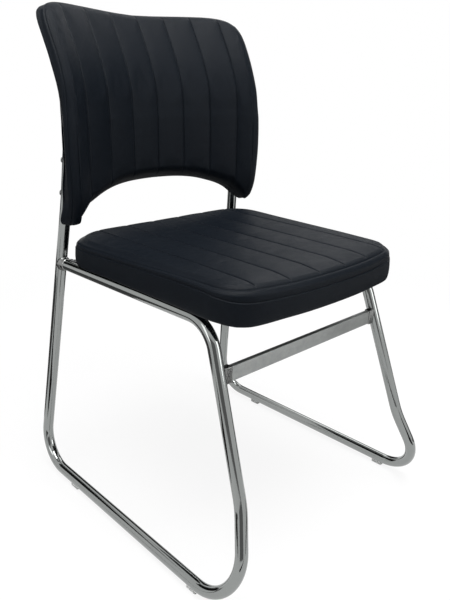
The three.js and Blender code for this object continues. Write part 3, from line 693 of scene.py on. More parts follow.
# A smooth curve through plan points, read by its share of the length
def sideCurve(points, count=400):
    dense = []
    last = len(points) - 1
    for k in range(count + 1):
        s = last * k / count
        i = min(last - 1, int(s))
        t = s - i
        p = [points[max(0, i - 1)], points[i], points[i + 1], points[min(last, i + 2)]]
        spot = []
        for axis in (0, 1):
            v0, v1 = (p[2][axis] - p[0][axis]) * 0.5, (p[3][axis] - p[1][axis]) * 0.5
            a, b = p[1][axis], p[2][axis]
            spot.append((2 * a - 2 * b + v0 + v1) * t ** 3 + (-3 * a + 3 * b - 2 * v0 - v1) * t * t + v0 * t + a)
        dense.append(Vector(spot))
    lengths = [0.0]
    for a, b in zip(dense, dense[1:]):
        lengths.append(lengths[-1] + (b - a).length)

    def read(v):
        goal = v * lengths[-1]
        i = next((k for k, d in enumerate(lengths) if d >= goal), count)
        i = max(1, i)
        share = (goal - lengths[i - 1]) / (lengths[i] - lengths[i - 1])
        return dense[i - 1].lerp(dense[i], share), (dense[i] - dense[i - 1]).normalized()
    return read


# The outline as (place, outward) pairs: near edge, right side, far edge, left side
def padOutline(shape, columns, rows):
    nearAt, farAt, sideAt = through(shape["near"]), through(shape["far"]), sideCurve(shape["side"])

    def edge(p, read, sign):
        slope = 0.0
        if abs(p) >= 0.4:
            slope = (read(abs(p) + 0.4) - read(abs(p) - 0.4)) / 0.8 * (1 if p > 0 else -1)
        size = math.hypot(1, slope)
        blend = smoothstep(abs(p), shape["straight"], columns[-1])
        return Vector((p, read(abs(p)))), Vector((-sign * slope * blend / size, sign * mix(size, 1 / size, blend)))

    def flank(v, sign):
        spot, tangent = sideAt(v)
        return Vector((sign * spot.x, spot.y)), Vector((sign * tangent.y, -tangent.x))

    loop = []
    for i, p in enumerate(columns[:-1]):
        loop.append(edge(p, nearAt, -1) if i else flank(0, -1))
    for v in rows[:-1]:
        loop.append(flank(v, 1))
    for i, p in enumerate(reversed(columns[1:])):
        loop.append(edge(p, farAt, 1) if i else flank(1, 1))
    for v in reversed(rows[1:]):
        loop.append(flank(v, -1))
    return loop


# Points inside a ring of boundary points: straight columns, bowed only beside the sides
def padGrid(ring, columns, rows, straight):
    n, m = len(columns), len(rows)
    grid = []
    for i, p in enumerate(columns):
        line = []
        for j, v in enumerate(rows):
            nearPoint, farPoint = ring[i], ring[n - 1 + m - 1 + (n - 1 - i)]
            right = ring[(n - 1 + j) % len(ring)]
            left = ring[(2 * (n - 1) + 2 * (m - 1) - j) % len(ring)]
            if j == 0:
                line.append(nearPoint)
            elif j == m - 1:
                line.append(farPoint)
            elif i == 0:
                line.append(left)
            elif i == n - 1:
                line.append(right)
            else:
                share = min(1.0, max(0.0, (abs(p) - straight) / (columns[-1] - straight)))
                beside, a, b = (right, ring[n - 1], ring[n + m - 2]) if p > 0 else (left, ring[0], ring[2 * n + m - 3])
                line.append(nearPoint.lerp(farPoint, v) + (beside - a.lerp(b, v)) * share)
        grid.append(line)
    return grid


# A closed pad from a top sheet, rings that roll over its edge and a sheet behind.
# All but the stuffed places of the top sheet are in the vertex group "sewn".
def padMesh(name, shape, columns, rows, top, rings, under, place, loose=lambda p, q: 0.0):
    outline = padOutline(shape, columns, rows)
    straight = shape["straight"]
    n, m = len(columns), len(rows)
    points, faces, held = [], [], []
    order = [(i, 0) for i in range(n - 1)] + [(n - 1, j) for j in range(m - 1)]
    order += [(i, m - 1) for i in range(n - 1, 0, -1)] + [(0, j) for j in range(m - 1, 0, -1)]

    def vertex(p, q, h, hold=1.0):
        points.append(place(p, q, h))
        held.append(hold)
        return len(points) - 1

    def sheet(ring, height, flip):
        plan = padGrid(ring, columns, rows, straight)
        grid = []
        for i, line in enumerate(plan):
            inner = 0 < i < n - 1 and not flip
            grid.append([
                vertex(s.x, s.y, height(s.x, s.y), 1 - loose(s.x, s.y) if inner and 0 < j < m - 1 else 1.0)
                for j, s in enumerate(line)])
        for i in range(n - 1):
            for j in range(m - 1):
                quad = (grid[i][j], grid[i + 1][j], grid[i + 1][j + 1], grid[i][j + 1])
                faces.append(quad[::-1] if flip else quad)
        return [grid[i][j] for i, j in order]

    def stitch(above, below):
        for k in range(len(order)):
            after = (k + 1) % len(order)
            faces.append((above[k], below[k], below[after], above[after]))

    first = [spot + out * rings[0](spot, out)[0] for spot, out in outline]
    above = sheet(first, top, False)
    for ring in rings[1:-1]:
        below = []
        for k, (spot, out) in enumerate(outline):
            reach, height = ring(spot, out, first[k])
            moved = spot + out * reach
            below.append(vertex(moved.x, moved.y, height))
        stitch(above, below)
        above = below
    last = [spot + out * rings[-1](spot, out)[0] for spot, out in outline]
    stitch(above, sheet(last, under, True))
    mesh = bpy.data.meshes.new(name)
    mesh.from_pydata(points, [], faces)
    mesh.update()
    piece = bpy.data.objects.new(name, mesh)
    world.collection.objects.link(piece)
    sewn = piece.vertex_groups.new(name="sewn")
    for k, hold in enumerate(held):
        sewn.add([k], hold, "REPLACE")
    outward(piece, 0.000001)
    return piece


# The filling presses the cover out between its seams, which stay where they are
def stuff(piece, filling):
    before = [vertex.co.copy() for vertex in piece.data.vertices]
    makeActive(piece)
    cloth = piece.modifiers.new("stuffing", "CLOTH")
    cloth.settings.quality = 5
    cloth.settings.mass = 0.3
    cloth.settings.tension_stiffness = filling["stretch"]
    cloth.settings.compression_stiffness = filling["stretch"]
    cloth.settings.shear_stiffness = filling["stretch"] * 0.4
    cloth.settings.bending_stiffness = filling["bend"]
    cloth.settings.use_pressure = True
    cloth.settings.uniform_pressure_force = filling["pressure"]
    cloth.settings.shrink_min = -filling["slack"]
    cloth.settings.vertex_group_mass = "sewn"
    cloth.settings.effector_weights.gravity = 0
    for step in range(1, 21):
        world.frame_set(step)
    bpy.ops.object.modifier_apply(modifier=cloth.name)
    for vertex, old in zip(piece.data.vertices, before):
        moved = vertex.co - old
        if moved.length > filling["cap"] * mm:
            vertex.co = old + moved.normalized() * filling["cap"] * mm
    world.frame_set(1)


def mirroredColumns(half):
    half = sorted(set(half))
    return [-p for p in reversed(half) if p > 0] + half


# Columns close together at each sewn seam and evenly spread between them
def quiltColumns(seams, outer, step):
    half = list(outer)
    marks = ([-seams[0]] if seams[0] > 0 else []) + list(seams)
    for seam in seams:
        half += [seam + d for d in (-4.0, -1.7, -0.75, 0, 0.75, 1.7, 4.0) if seam + d >= 0]
    for a, b in zip(marks, marks[1:]):
        count = round((b - a) / step)
        half += [mix(a + 4, b - 4, k / count) for k in range(count + 1) if mix(a + 4, b - 4, k / count) >= 0]
    half.append(0)
    cleaned = []
    for p in sorted(round(p, 3) for p in set(half)):
        if not cleaned or p - cleaned[-1] > 0.6:
            cleaned.append(p)
    return mirroredColumns(cleaned)


def evenRows(count):
    return [k / count for k in range(count + 1)]


# Share of a stuffed channel's height at p, and the distance to its nearest seam
def channelAt(shape, edge, p):
    x = abs(p)
    seams = shape["seams"]
    marks = ([-seams[0]] if seams[0] > 0 else []) + list(seams) + [edge]
    for low, high in zip(marks, marks[1:]):
        if low <= x < high:
            u = (x - low) / (high - low)
            away = min(x - low, high - x) if high in seams else x - low
            return max(0.0, 4 * u * (1 - u)) ** shape["fullness"], away
    return 0.0, 99


# Gathers along a seam: small uneven dimples that fade away from the stitches
def gathers(p, q, away, seed):
    wave = noise.noise(Vector((p * 0.02 + seed, q * 0.13, seed)))
    wave += 0.5 * noise.noise(Vector((p * 0.04, q * 0.31, seed + 7)))
    return wave * math.exp(-away / 7.0)


def sewn(away):
    return math.exp(-((away / 0.95) ** 2))


# Seat
seatPad = {
    "tilt": math.atan2(10.8, 358.8), "origin": (0, -9, 411.5), "seams": [30, 90, 150], "crown": 1.0, "lift": 2.5,
    "fullness": 0.34, "step": 6.0, "rows": 62, "sewnDepth": 2.1, "pucker": 0.22,
    "near": [(0, -205), (40, -204.3), (80, -202), (120, -197), (145, -192.4), (164, -186.6), (181, -175.6)],
    "far": [(0, 216), (80, 215.4), (130, 213.8), (155, 211.7), (175, 206.4), (192.5, 196.2)],
    "side": [
        (181, -175.6), (190.6, -163.4), (196, -149), (198.2, -132), (200.6, -70), (204, 10),
        (207.8, 90), (211.4, 136), (210.8, 163), (205, 182), (192.5, 196.2)],
    "piping": [
        (-215, 31), (-185, 31.4), (-160, 34.5), (-125, 37.5), (-55, 36.8), (20, 34.4), (110, 31.4), (217, 29.5)],
    "straight": 150,
    "filling": {"pressure": 3.0, "stretch": 12, "bend": 0.5, "slack": 0.002, "cap": 1.6},
}
seatPiping = through(seatPad["piping"])
seatMatrix = Matrix.Translation(at(*seatPad["origin"])) @ Matrix.Rotation(seatPad["tilt"], 4, "X")


def seatPlace(p, q, h):
    return seatMatrix @ Vector((p * mm, q * mm, h * mm))


def seatSurface(p, q):
    x = abs(p)
    dish = 1.2 * min(1.0, max(0.0, x - 20) / 130) * smoothstep(q, -150, -50)
    toFront = max(0.0, -148 - q)
    return 51.4 - 0.022 * (q + 137) + dish - 0.06 * max(0.0, x - 150) - 0.0016 * toFront * toFront


def seatTop(p, q):
    share, away = channelAt(seatPad, 208, p)
    front = smoothstep(-q, 150, 190)
    h = seatSurface(p, q) + (seatPad["lift"] + seatPad["crown"] * share) * (1 - 0.5 * front)
    h -= seatPad["sewnDepth"] * sewn(away)
    return h + seatPad["pucker"] * gathers(p, q, away, 3) + 0.35 * noise.noise(Vector((p * 0.012, q * 0.012, 5)))


# The strip between the quilting and the edge seam is wide in front and narrows along the sides
def creaseReach(spot):
    return mix(-3.4, -9.2, smoothstep(-spot.y, -40, 165))


def makeSeatCover():
    columns = quiltColumns(seatPad["seams"], [156, 161, 166, 170, 174, 177.5, 181], seatPad["step"])
    rows = evenRows(seatPad["rows"])

    def roll(reach):
        def ring(spot, out, start):
            flat = seatTop(start.x, start.y)
            low = seatPiping(spot.y) + 2
            high = mix(flat, seatSurface(start.x, start.y) - 0.4, smoothstep(reach, -19, -8))
            height = low + (high - low) * math.sqrt(max(0.0, 1 - ((19 + reach) / 19) ** 2))
            crease = math.exp(-(((reach - creaseReach(spot)) / 1.1) ** 2))
            return reach - 0.5 * crease, height - 0.9 * crease
        return ring

    def band(reach, above):
        def ring(spot, out, start):
            return reach, seatPiping(spot.y) + above
        return ring

    def lower(reach, share, wave=0.0):
        def ring(spot, out, start):
            front = smoothstep(-spot.y, 150, 190)
            hem = 0.6 - 0.7 * front - 3 * smoothstep(abs(spot.x), 90, 185) * front
            slack = wave * noise.noise(Vector((spot.x * 0.025, spot.y * 0.025, 17)))
            return reach + slack, mix(seatPiping(spot.y) - 3, hem, share)
        return ring

    reaches = (-17.2, -15.4, -13.6, -12.2, -11.1, -10.3, -9.6, -9.0, -8.3, -7.5, -6.7, -5.9, -5.1, -4.4, -3.8, -3.2, -2.6, -2.0)
    rings = [lambda spot, out, start=None: (-19, 0)]
    rings += [roll(r) for r in reaches]
    rings += [
        band(-1.5, 2.6), band(-1.6, 2.0), band(-2.2, 1.55), band(-1.5, 1.1), band(-0.5, 0.7), band(0.0, 0.0),
        band(-0.1, -1.5), lower(0.1, 0.04, 0.1), lower(0.3, 0.15, 0.3), lower(0.6, 0.35, 0.5), lower(0.6, 0.55, 0.5),
        lower(0.1, 0.75, 0.4), lower(-0.5, 0.88, 0.2), lower(-1.4, 0.97), lower(-2.8, 1.0), lower(-6, 1.0),
        lambda spot, out, start=None: (-12, 0),
    ]
    cover = padMesh(
        "seatCover", seatPad, columns, rows, seatTop, rings, lambda p, q: 1.4, seatPlace,
        lambda p, q: smoothstep(channelAt(seatPad, 208, p)[1], 1.5, 6))
    stuff(cover, seatPad["filling"])
    smooth = cover.modifiers.new("smooth", "SUBSURF")
    smooth.levels = smooth.render_levels = 1
    finishPiece(cover, "seatCover", leather, ["seat_cover"], 180)


# Back
backPad = {
    "curve": 403, "seams": [0, 57.5, 114, 168], "crown": 1.0, "lift": 2.5, "fullness": 0.34, "step": 6.0, "rows": 76,
    "sewnDepth": 1.7, "pucker": 0.2,
    "lean": [
        (440, 242), (480, 225), (500, 216.8), (520, 211.4), (545, 209.6), (644, 209.5),
        (658, 210.6), (699, 214.4), (739, 227.9), (777, 246.8), (816, 269.2), (840, 283)],
    "near": [
        (0, 536.2), (36, 535.4), (62, 533.6), (88, 529.6), (112, 522.6), (135, 513.2), (155, 501.6), (170, 488.6),
        (183, 478.6), (194, 473.4), (204.4, 477.4)],
    "far": [(0, 822.6), (40, 824), (78, 826), (110, 827.5), (150, 828.4), (174, 826.8), (191, 822.4), (203, 813.6)],
    "side": [
        (204.4, 477.4), (208.2, 486), (209.4, 504), (209.8, 526), (211.2, 550), (212.5, 578), (212.8, 605),
        (212.2, 636), (210.8, 662), (209.4, 688), (208.6, 715), (209, 745), (209.8, 775), (209.4, 793),
        (207.2, 805), (203, 813.6)],
    "straight": 168, "rim": 17.5, "lobeRim": 25, "rearThickness": 4, "rearGap": 2.3,
    "filling": {"pressure": 3.0, "stretch": 12, "bend": 0.5, "slack": 0.002, "cap": 1.6},
    "tightEdge": [
        (-13, 0), (-10, -0.2), (-7.4, -0.8), (-5.2, -1.7), (-3.6, -2.7), (-2.4, -3.7), (-2.3, -4.3), (-2.9, -4.8),
        (-2.3, -5.2), (-1.2, -5.7), (-0.4, -6.6), (-0.1, -8.2), (0, -11)],
    "archedEdge": [
        (-22, 0), (-18.5, -0.7), (-15, -1.9), (-12, -3.4), (-9.9, -4.8), (-8.3, -6.1), (-7.3, -7.1), (-6.5, -7.9),
        (-5.7, -8.8), (-4.8, -9.9), (-3.8, -11.2), (-2.6, -12.9), (-1, -15.4)],
}
leanAt = through(backPad["lean"])


def backSurface(p, q):
    return leanAt(q) - p * p / (2 * backPad["curve"])


def backNormal(p, q):
    return Vector((-p / backPad["curve"], -1, (leanAt(q + 1) - leanAt(q - 1)) / 2)).normalized()


def backPlace(p, q, h):
    return at(*(Vector((p, backSurface(p, q), q)) + backNormal(p, q) * h))


def rimDepth(p, q):
    lobe = smoothstep(abs(p), 178, 206) * smoothstep(-q, -590, -530)
    return mix(backPad["rim"], backPad["lobeRim"], lobe)


def backTop(p, q):
    share, away = channelAt(backPad, 210, p)
    h = backPad["crown"] * share + backPad["lift"] - backPad["sewnDepth"] * sewn(away)
    return h + backPad["pucker"] * gathers(p, q, away, 9) + 0.3 * noise.noise(Vector((p * 0.012, q * 0.012, 21)))


def archShare(out):
    return max(0.0, -out.y) ** 1.5


def edgeAt(k, out):
    arch = archShare(out)
    (a, b), (c, d) = backPad["tightEdge"][k], backPad["archedEdge"][k]
    return mix(a, c, arch), mix(b, d, arch)


# The rim is drawn in behind, except beside the leaning upper part and at the lobes' tips
def rimReach(spot, out):
    beside = min(1.0, 1.4 * abs(out.x))
    flare = 1.5 * smoothstep(spot.y, 775, 812)
    drawn = beside * (flare + mix(-8, 2, smoothstep(spot.y, 622, 742)))
    tip = smoothstep(abs(spot.x), 184, 202) * smoothstep(-spot.y, -530, -488)
    return mix(drawn, 5.0 * max(0.0, -out.y) - 1.5, tip)


def makeBackCover():
    columns = quiltColumns(backPad["seams"], [174, 179, 184, 189, 193, 197, 200.5, 204], backPad["step"])
    rows = evenRows(backPad["rows"])
    steps = len(backPad["tightEdge"])

    def edgeRing(k):
        def ring(spot, out, start=None):
            reach, height = edgeAt(k, out)
            if start is None:
                return reach, height
            fade = max(0.0, 1 - k / 5) ** 1.3
            return reach, height + fade * backTop(start.x, start.y)
        return ring

    def rimRing(share):
        def ring(spot, out, start=None):
            reach, height = edgeAt(-1, out)
            return mix(reach, rimReach(spot, out), share), mix(height, -rimDepth(spot.x, spot.y), share)
        return ring

    rings = [edgeRing(k) for k in range(steps)] + [rimRing(s) for s in (0.3, 0.6, 0.85, 1.0)]
    rings.append(lambda spot, out, start=None: (rimReach(spot, out) - 1.5, 0))
    cover = padMesh(
        "backCover", backPad, columns, rows, backTop, rings, lambda p, q: -rimDepth(p, q) - 0.4, backPlace,
        lambda p, q: smoothstep(channelAt(backPad, 210, p)[1], 1.5, 6))
    stuff(cover, backPad["filling"])
    smooth = cover.modifiers.new("smooth", "SUBSURF")
    smooth.levels = smooth.render_levels = 1
    finishPiece(cover, "backCover", leather, ["back_cover"], 180)


def makeRearCover():
    shape = dict(backPad, straight=120)
    columns = mirroredColumns([6.8 * k for k in range(31)])

    def depth(p, q):
        return -rimDepth(p, q) - backPad["rearGap"]

    def behind(p, q):
        return depth(p, q) - backPad["rearThickness"] + 0.25 * noise.noise(Vector((p * 0.02, q * 0.02, 3)))

    def edge(tight, arched, extra):
        def ring(spot, out, start=None):
            return -mix(tight, arched, archShare(out)), depth(spot.x, spot.y) - extra
        return ring

    rings = [
        edge(9.5, 1.5, 0), edge(9.0, 1.0, 0.3), edge(8.8, 0.8, 1.0), edge(9.3, 1.4, 2.0), edge(10.5, 2.8, 3.0),
        edge(12.4, 5, 3.7), edge(15, 8, 4.0),
    ]
    panel = padMesh("backRearCover", shape, columns, evenRows(60), depth, rings, behind, backPlace)
    smooth = panel.modifiers.new("smooth", "SUBSURF")
    smooth.levels = smooth.render_levels = 1
    finishPiece(panel, "backRearCover", leather, ["back_rear_cover"], 180)


makeSeatCover()
makeBackCover()
makeRearCover()
print("pads made")


# Under the seat: cross tubes, drilled tabs, screws and the dust cover
underSeat = {
    "crossTubes": {"rear": 205, "front": -82}, "tabX": 132, "tabReach": 34, "tab": (34, 54, 2.5), "tabHole": 3.4,
    "screwHead": [
        (6.0, -3.1), (6.0, -4.0), (5.7, -5.1), (5.0, -6.0), (4.0, -6.5), (2.9, -6.7), (2.6, -6.6), (2.4, -5.0), (0.3, -5.0)],
    "dustInset": 21, "dustHeight": 0.75, "dustWave": 0.25, "staples": 46, "staple": (9, 0.9, 0.6),
}


def crossRow(y):
    return (y - seatPad["origin"][1]) / math.cos(seatPad["tilt"])


def makeCrossTubes():
    for place, y in underSeat["crossTubes"].items():
        share = (y - frontTop.y) / (railJoint.y - frontTop.y)
        bead = frontTop.lerp(railJoint, share).x - tubeFrame["radius"]
        half = [
            (11.0, bead + 3.2), (11.6, bead + 1.5), (11.9, bead), (11.3, bead - 1.8), (10.1, bead - 3.2),
            (9.6, bead - 4.4), (9.5, bead - 6), (9.5, bead - 40)]
        rings = [(radius, -reach) for radius, reach in half] + list(reversed(half))
        tube = turnedPiece(rings, seatPlace(0, crossRow(y), -12.6), (1, 0, 0), 40)
        tube.data.materials.append(coatedSteel)
        ripple(tube, 0.35, 240, lambda spot: 1.0 if abs(spot.x) > (bead - 5) * mm else 0.0)
        finishPiece(tube, place + "CrossTube", None, [place + "_cross_tube"], 40)


def holedPlate(size, cornerRadius, holeY, holeRadius, matrix):
    deselect()
    bpy.ops.mesh.primitive_plane_add(size=1)
    piece = bpy.context.object
    piece.scale = (size[0] * mm, size[1] * mm, 1)
    bpy.ops.object.transform_apply(location=True, rotation=True, scale=True)
    bpy.ops.object.mode_set(mode="EDIT")
    bpy.ops.mesh.select_all(action="SELECT")
    bpy.ops.mesh.bevel(offset=cornerRadius * mm, segments=6, affect="VERTICES")
    bpy.ops.mesh.delete(type="ONLY_FACE")
    bpy.ops.mesh.primitive_circle_add(vertices=28, radius=holeRadius * mm, location=(0, holeY * mm, 0))
    bpy.ops.mesh.select_all(action="SELECT")
    bpy.ops.mesh.fill()
    bpy.ops.mesh.select_all(action="SELECT")
    bpy.ops.mesh.extrude_region_move(TRANSFORM_OT_translate={"value": (0, 0, size[2] * mm)})
    bpy.ops.object.mode_set(mode="OBJECT")
    outward(piece, 0.000001)
    softEdges(piece, 0.35, 2)
    piece.matrix_world = matrix
    settle(piece)
    return piece


def makeTabs():
    for place, y in underSeat["crossTubes"].items():
        towards = -1 if place == "rear" else 1
        hole = crossRow(y) + towards * underSeat["tabReach"]
        centre = underSeat["tab"][1] / 2 - 14
        lay = seatMatrix @ Matrix.Translation((underSeat["tabX"] * mm, (hole - towards * centre) * mm, -2.8 * mm))
        tab = holedPlate(underSeat["tab"], 6, towards * centre, underSeat["tabHole"], lay)
        bothSides(tab, place + "SeatTab", "seat_tab_" + place, coatedSteel, 30)
        head = turnedPiece(
            underSeat["screwHead"], seatPlace(underSeat["tabX"], hole, 0), seatMatrix.to_3x3() @ Vector((0, 0, 1)),
            36, socket=2.95)
        shank = turnedPiece(
            [(2.9, -4), (2.9, 15), (2.2, 15.8)], seatPlace(underSeat["tabX"], hole, 0),
            seatMatrix.to_3x3() @ Vector((0, 0, 1)), 20)
        bothSides(joined([head, shank]), place + "SeatScrew", "seat_screw_" + place, zinc, 35)


# The dust cover is stapled along its hem and hangs a little slack between the staples
def makeDustCover():
    inset, level = underSeat["dustInset"], underSeat["dustHeight"]
    columns = mirroredColumns([181 / 22 * k for k in range(23)])
    rows = evenRows(48)
    shape = dict(seatPad, straight=110)
    outline = padOutline(shape, columns, rows)
    ring = [spot - out * inset for spot, out in outline]
    grid = padGrid(ring, columns, rows, shape["straight"])
    n, m = len(columns), len(rows)

    def sag(spot):
        inner = smoothstep(spot.y, -170, -110) * (1 - smoothstep(spot.y, 120, 180))
        inner *= 1 - smoothstep(abs(spot.x), 110, 170)
        wave = noise.noise(Vector((spot.x * 0.02, spot.y * 0.02, 31)))
        return level - underSeat["dustWave"] * (1.1 * inner + wave)

    points = [seatPlace(s.x, s.y, sag(s)) for line in grid for s in line]
    faces = [
        (i * m + j, i * m + j + 1, (i + 1) * m + j + 1, (i + 1) * m + j) for i in range(n - 1) for j in range(m - 1)]
    mesh = bpy.data.meshes.new("seatDustCover")
    mesh.from_pydata(points, [], faces)
    cloth = bpy.data.objects.new("seatDustCover", mesh)
    world.collection.objects.link(cloth)
    outward(cloth, 0.000001)
    makeActive(cloth)
    skin = cloth.modifiers.new("thickness", "SOLIDIFY")
    skin.thickness = 0.5 * mm
    skin.offset = 0
    finishPiece(cloth, "seatDustCover", lining, ["seat_dust_cover"], 60)

    hem = [spot - out * (inset + 6) for spot, out in outline]
    steps = [0.0]
    for a, b in zip(hem, hem[1:] + hem[:1]):
        steps.append(steps[-1] + (b - a).length)
    staples = []
    for k in range(underSeat["staples"]):
        goal = steps[-1] * (k + 0.5) / underSeat["staples"]
        i = next(i for i, s in enumerate(steps) if s > goal)
        a, b = hem[i - 1], hem[i % len(hem)]
        spot = a.lerp(b, (goal - steps[i - 1]) / (steps[i] - steps[i - 1]))
        turn = math.atan2(b.y - a.y, b.x - a.x) + 0.25 * noise.noise(Vector((k * 1.7, 0.5, 3)))
        lay = seatMatrix @ Matrix.Translation((spot.x * mm, spot.y * mm, (level - 0.45) * mm))
        lay = lay @ Matrix.Rotation(turn, 4, "Z")
        if not staples:
            firstLay = lay
            staples.append(roundedBox(underSeat["staple"], lay, 0.25, 0.12))
        else:
            staples.append(copied(staples[0]))
            staples[-1].data.transform(lay @ firstLay.inverted())
    finishPiece(joined(staples), "dustCoverStaples", zinc, (), 35)


# Behind the back: spacers on the uprights and the screws through them
backFixing = {
    "heights": {"Lower": 530, "Upper": 584}, "spacerRadius": 9, "headGap": 0.8,
    "head": [
        (4.6, 0), (4.9, 0.1), (4.9, 0.4), (4.6, 1.0), (4.1, 1.45), (3.5, 1.75), (2.9, 1.9), (2.5, 1.85), (2.3, 0.7),
        (0.3, 0.7)],
}


# The line through the upright's centre that meets the back square to its face
def screwLine(z):
    spot = uprightAt(z)
    p = spot.x
    for k in range(30):
        normal = backNormal(p, z)
        p += spot.x - (p + normal.x * (spot.y - backSurface(p, z)) / normal.y)
    out = -backNormal(p, z)
    depth = (spot.y - backSurface(p, z)) / out.y
    return spot - out * depth, out, depth


def makeBackFixings():
    for place, z in backFixing["heights"].items():
        face, out, depth = screwLine(z)
        start = rimDepth(face.x, face.z) + backPad["rearGap"] + backPad["rearThickness"] - 1
        r = backFixing["spacerRadius"]
        spacer = turnedPiece(
            [(r - 1, start), (r, start + 1), (r, start + 2), (r, depth - 2)], at(*face), out, 36)
        bothSides(spacer, "backSpacer" + place, "back_spacer_" + place.lower(), blackPlastic, 35)
        low = depth + tubeFrame["radius"] + backFixing["headGap"]
        rings = [(radius, low + height) for radius, height in backFixing["head"]]
        head = turnedPiece(rings, at(*face), out, 36, socket=2.6)
        shank = turnedPiece([(2.2, start - 14), (2.9, start - 13), (2.9, low + 0.2)], at(*face), out, 20)
        bothSides(joined([head, shank]), "backScrew" + place, "back_screw_" + place.lower(), zinc)


makeCrossTubes()
makeTabs()
makeDustCover()
makeBackFixings()
print("cross tubes, tabs, dust cover and screws made")

# The pieces shut inside the pads keep their solids
insideLooks = {"tee_nut": zinc, "foam": foamLook, "board": plywood}
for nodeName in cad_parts:
    solid = bpy.data.objects.get(nodeName)
    for word, material in insideLooks.items():
        if solid is not None and word in nodeName:
            for materialSlot in solid.material_slots:
                materialSlot.material = material
            if not solid.material_slots:
                solid.data.materials.append(material)


# Floor, sky, lamps and reflection cards
studio = {
    "floorSize": 30, "floorColour": (0.95, 0.95, 0.95), "floorGlow": 0.88, "floorFade": (0.7, 1.7),
    "skyStrength": 0.36,
    "lamps": {
        "overheadSoftbox": ((-0.1, -0.3, 2.3), (0, 0, 0.3), (1.8, 1.4), 66),
        "frontSoftbox": ((1.2, -2.2, 1.3), (0, 0, 0.5), (0.9, 1.4), 14),
        "sideSoftbox": ((-2.4, -0.2, 1.5), (0, 0, 0.5), (0.7, 1.5), 8),
        "rearSoftbox": ((2.2, 1.5, 1.7), (0, 0, 0.5), (0.9, 1.4), 8),
    },
    "cards": {
        "cameraCard": ((-3.0, -3.0, 1.4), (0, 0, 0.4), (4.6, 2.6), 0.24),
        "overheadCard": ((0, 0, 3.3), (0, 0, 0), (3.8, 3.8), 0.32),
        "rearCard": ((2.0, 2.0, 0.95), (0, 0, 0.5), (2.6, 1.8), 0.03),
        "rightGround": ((1.45, 0.7, 0.004), (1.45, 0.7, 1), (1.9, 2.8), 0.10),
        "rearGround": ((-0.6, 1.4, 0.004), (-0.6, 1.4, 1), (2.1, 1.9), 0.10),
        "rightFlag": ((3.1, -0.9, 1.4), (0, 0, 0.4), (2.2, 3.4), 0.015),
        "leftFlag": ((-1.0, 3.1, 1.4), (0, 0, 0.4), (2.2, 3.4), 0.015),
        "leftStrip": ((-1.3, 0.1, 0.004), (-1.3, 0.1, 1), (1.8, 0.2), 0.015),
        "nearStrip": ((-0.47, -1.35, 0.004), (-0.47, -1.35, 1), (0.17, 1.8), 0.015),
        "frontStrip": ((0.22, -1.35, 0.004), (0.22, -1.35, 1), (0.17, 1.8), 0.015),
    },
}


# Light Path masks for what shows the plain white background: the camera, metal and glass
def seesBackground(tree):
    path = tree.nodes.new("ShaderNodeLightPath")
    either = mathNode(tree, "MAXIMUM", path.outputs["Is Camera Ray"], path.outputs["Is Transmission Ray"])
    return mathNode(tree, "MAXIMUM", either, path.outputs["Is Glossy Ray"])


def makeFloor():
    deselect()
    bpy.ops.mesh.primitive_plane_add(size=studio["floorSize"], location=(0, 0, 0))
    floor = bpy.context.object
    floor.name = "studioFloor"
    material, nodes, links, shader = newMaterial("paleFloor")
    tree = material.node_tree
    paper = noiseNode(tree, objectVector(tree), 3, 2)
    dimmer = tuple(c - 0.01 for c in studio["floorColour"])
    links.new(blended(tree, paper, studio["floorColour"], dimmer), shader.inputs["Base Color"])
    setSockets(shader, Roughness=0.9, Specular_IOR_Level=0.1)
    glow = nodes.new("ShaderNodeEmission")
    glow.inputs["Strength"].default_value = 1.0
    blend = nodes.new("ShaderNodeMixShader")
    away = nodes.new("ShaderNodeVectorMath")
    away.operation = "LENGTH"
    links.new(objectVector(tree), away.inputs[0])
    fade = nodes.new("ShaderNodeMapRange")
    fade.interpolation_type = "SMOOTHSTEP"
    for label, value in zip(("From Min", "From Max", "To Min"), (*studio["floorFade"], studio["floorGlow"])):
        fade.inputs[label].default_value = value
    links.new(away.outputs["Value"], fade.inputs["Value"])
    links.new(mathNode(tree, "MULTIPLY", seesBackground(tree), fade.outputs[0]), blend.inputs[0])
    links.new(shader.outputs[0], blend.inputs[1])
    links.new(glow.outputs[0], blend.inputs[2])
    links.new(blend.outputs[0], nodes["Material Output"].inputs["Surface"])
    floor.data.materials.append(material)


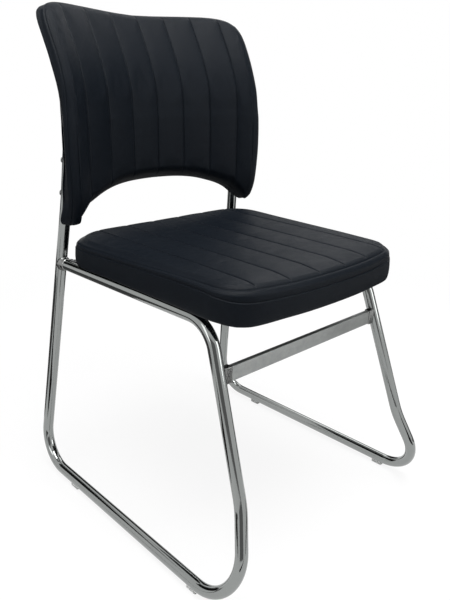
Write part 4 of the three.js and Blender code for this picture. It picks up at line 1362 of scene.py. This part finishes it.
def makeSky():
    sky = bpy.data.worlds.new("studioSky")
    world.world = sky
    sky.use_nodes = True
    tree = sky.node_tree
    nodes, links = tree.nodes, tree.links
    background = nodes["Background"]
    split = nodes.new("ShaderNodeSeparateXYZ")
    links.new(nodes.new("ShaderNodeTexCoord").outputs["Generated"], split.inputs[0])
    rise = nodes.new("ShaderNodeValToRGB")
    ramp = rise.color_ramp
    ramp.elements[0].color = (0.55, 0.55, 0.56, 1)
    ramp.elements[1].color = (0.95, 0.95, 0.96, 1)
    stop = ramp.elements.new(0.5)
    stop.color = (0.5, 0.5, 0.51, 1)
    links.new(mathNode(tree, "MULTIPLY_ADD", split.outputs["Z"], 0.5, 0.5), rise.inputs["Fac"])
    links.new(rise.outputs["Color"], background.inputs["Color"])
    background.inputs["Strength"].default_value = studio["skyStrength"]
    flat = nodes.new("ShaderNodeBackground")
    flat.inputs["Color"].default_value = (1, 1, 1, 1)
    flat.inputs["Strength"].default_value = 1.0
    blend = nodes.new("ShaderNodeMixShader")
    links.new(seesBackground(tree), blend.inputs[0])
    links.new(background.outputs[0], blend.inputs[1])
    links.new(flat.outputs[0], blend.inputs[2])
    links.new(blend.outputs[0], nodes["World Output"].inputs["Surface"])


def addLamp(name, place, aim, size, power):
    lampData = bpy.data.lights.new(name, "AREA")
    lampData.shape = "RECTANGLE"
    lampData.size, lampData.size_y = size
    lampData.energy = power
    lamp = bpy.data.objects.new(name, lampData)
    world.collection.objects.link(lamp)
    lamp.location = place
    lamp.rotation_mode = "QUATERNION"
    lamp.rotation_quaternion = (Vector(aim) - Vector(place)).to_track_quat("-Z", "Y")


# Cards and strips round the chair that only reflections see
def addCard(name, place, aim, size, level):
    deselect()
    bpy.ops.mesh.primitive_plane_add(size=1)
    card = bpy.context.object
    card.name = name
    card.scale = (*size, 1)
    card.rotation_mode = "QUATERNION"
    card.rotation_quaternion = (Vector(aim) - Vector(place)).to_track_quat("Z", "Y")
    card.location = place
    settle(card)
    material, nodes, links, shader = newMaterial(name)
    setSockets(shader, Roughness=1.0, Specular_IOR_Level=0.0, Emission_Strength=level)
    shader.inputs["Base Color"].default_value = (0, 0, 0, 1)
    shader.inputs["Emission Color"].default_value = (1, 1, 1, 1)
    card.data.materials.append(material)
    card.visible_camera = card.visible_diffuse = card.visible_shadow = card.visible_transmission = False


makeFloor()
makeSky()
for lampName, settings in studio["lamps"].items():
    addLamp(lampName, *settings)
for cardName, settings in studio["cards"].items():
    addCard(cardName, *settings)
print("studio lit")
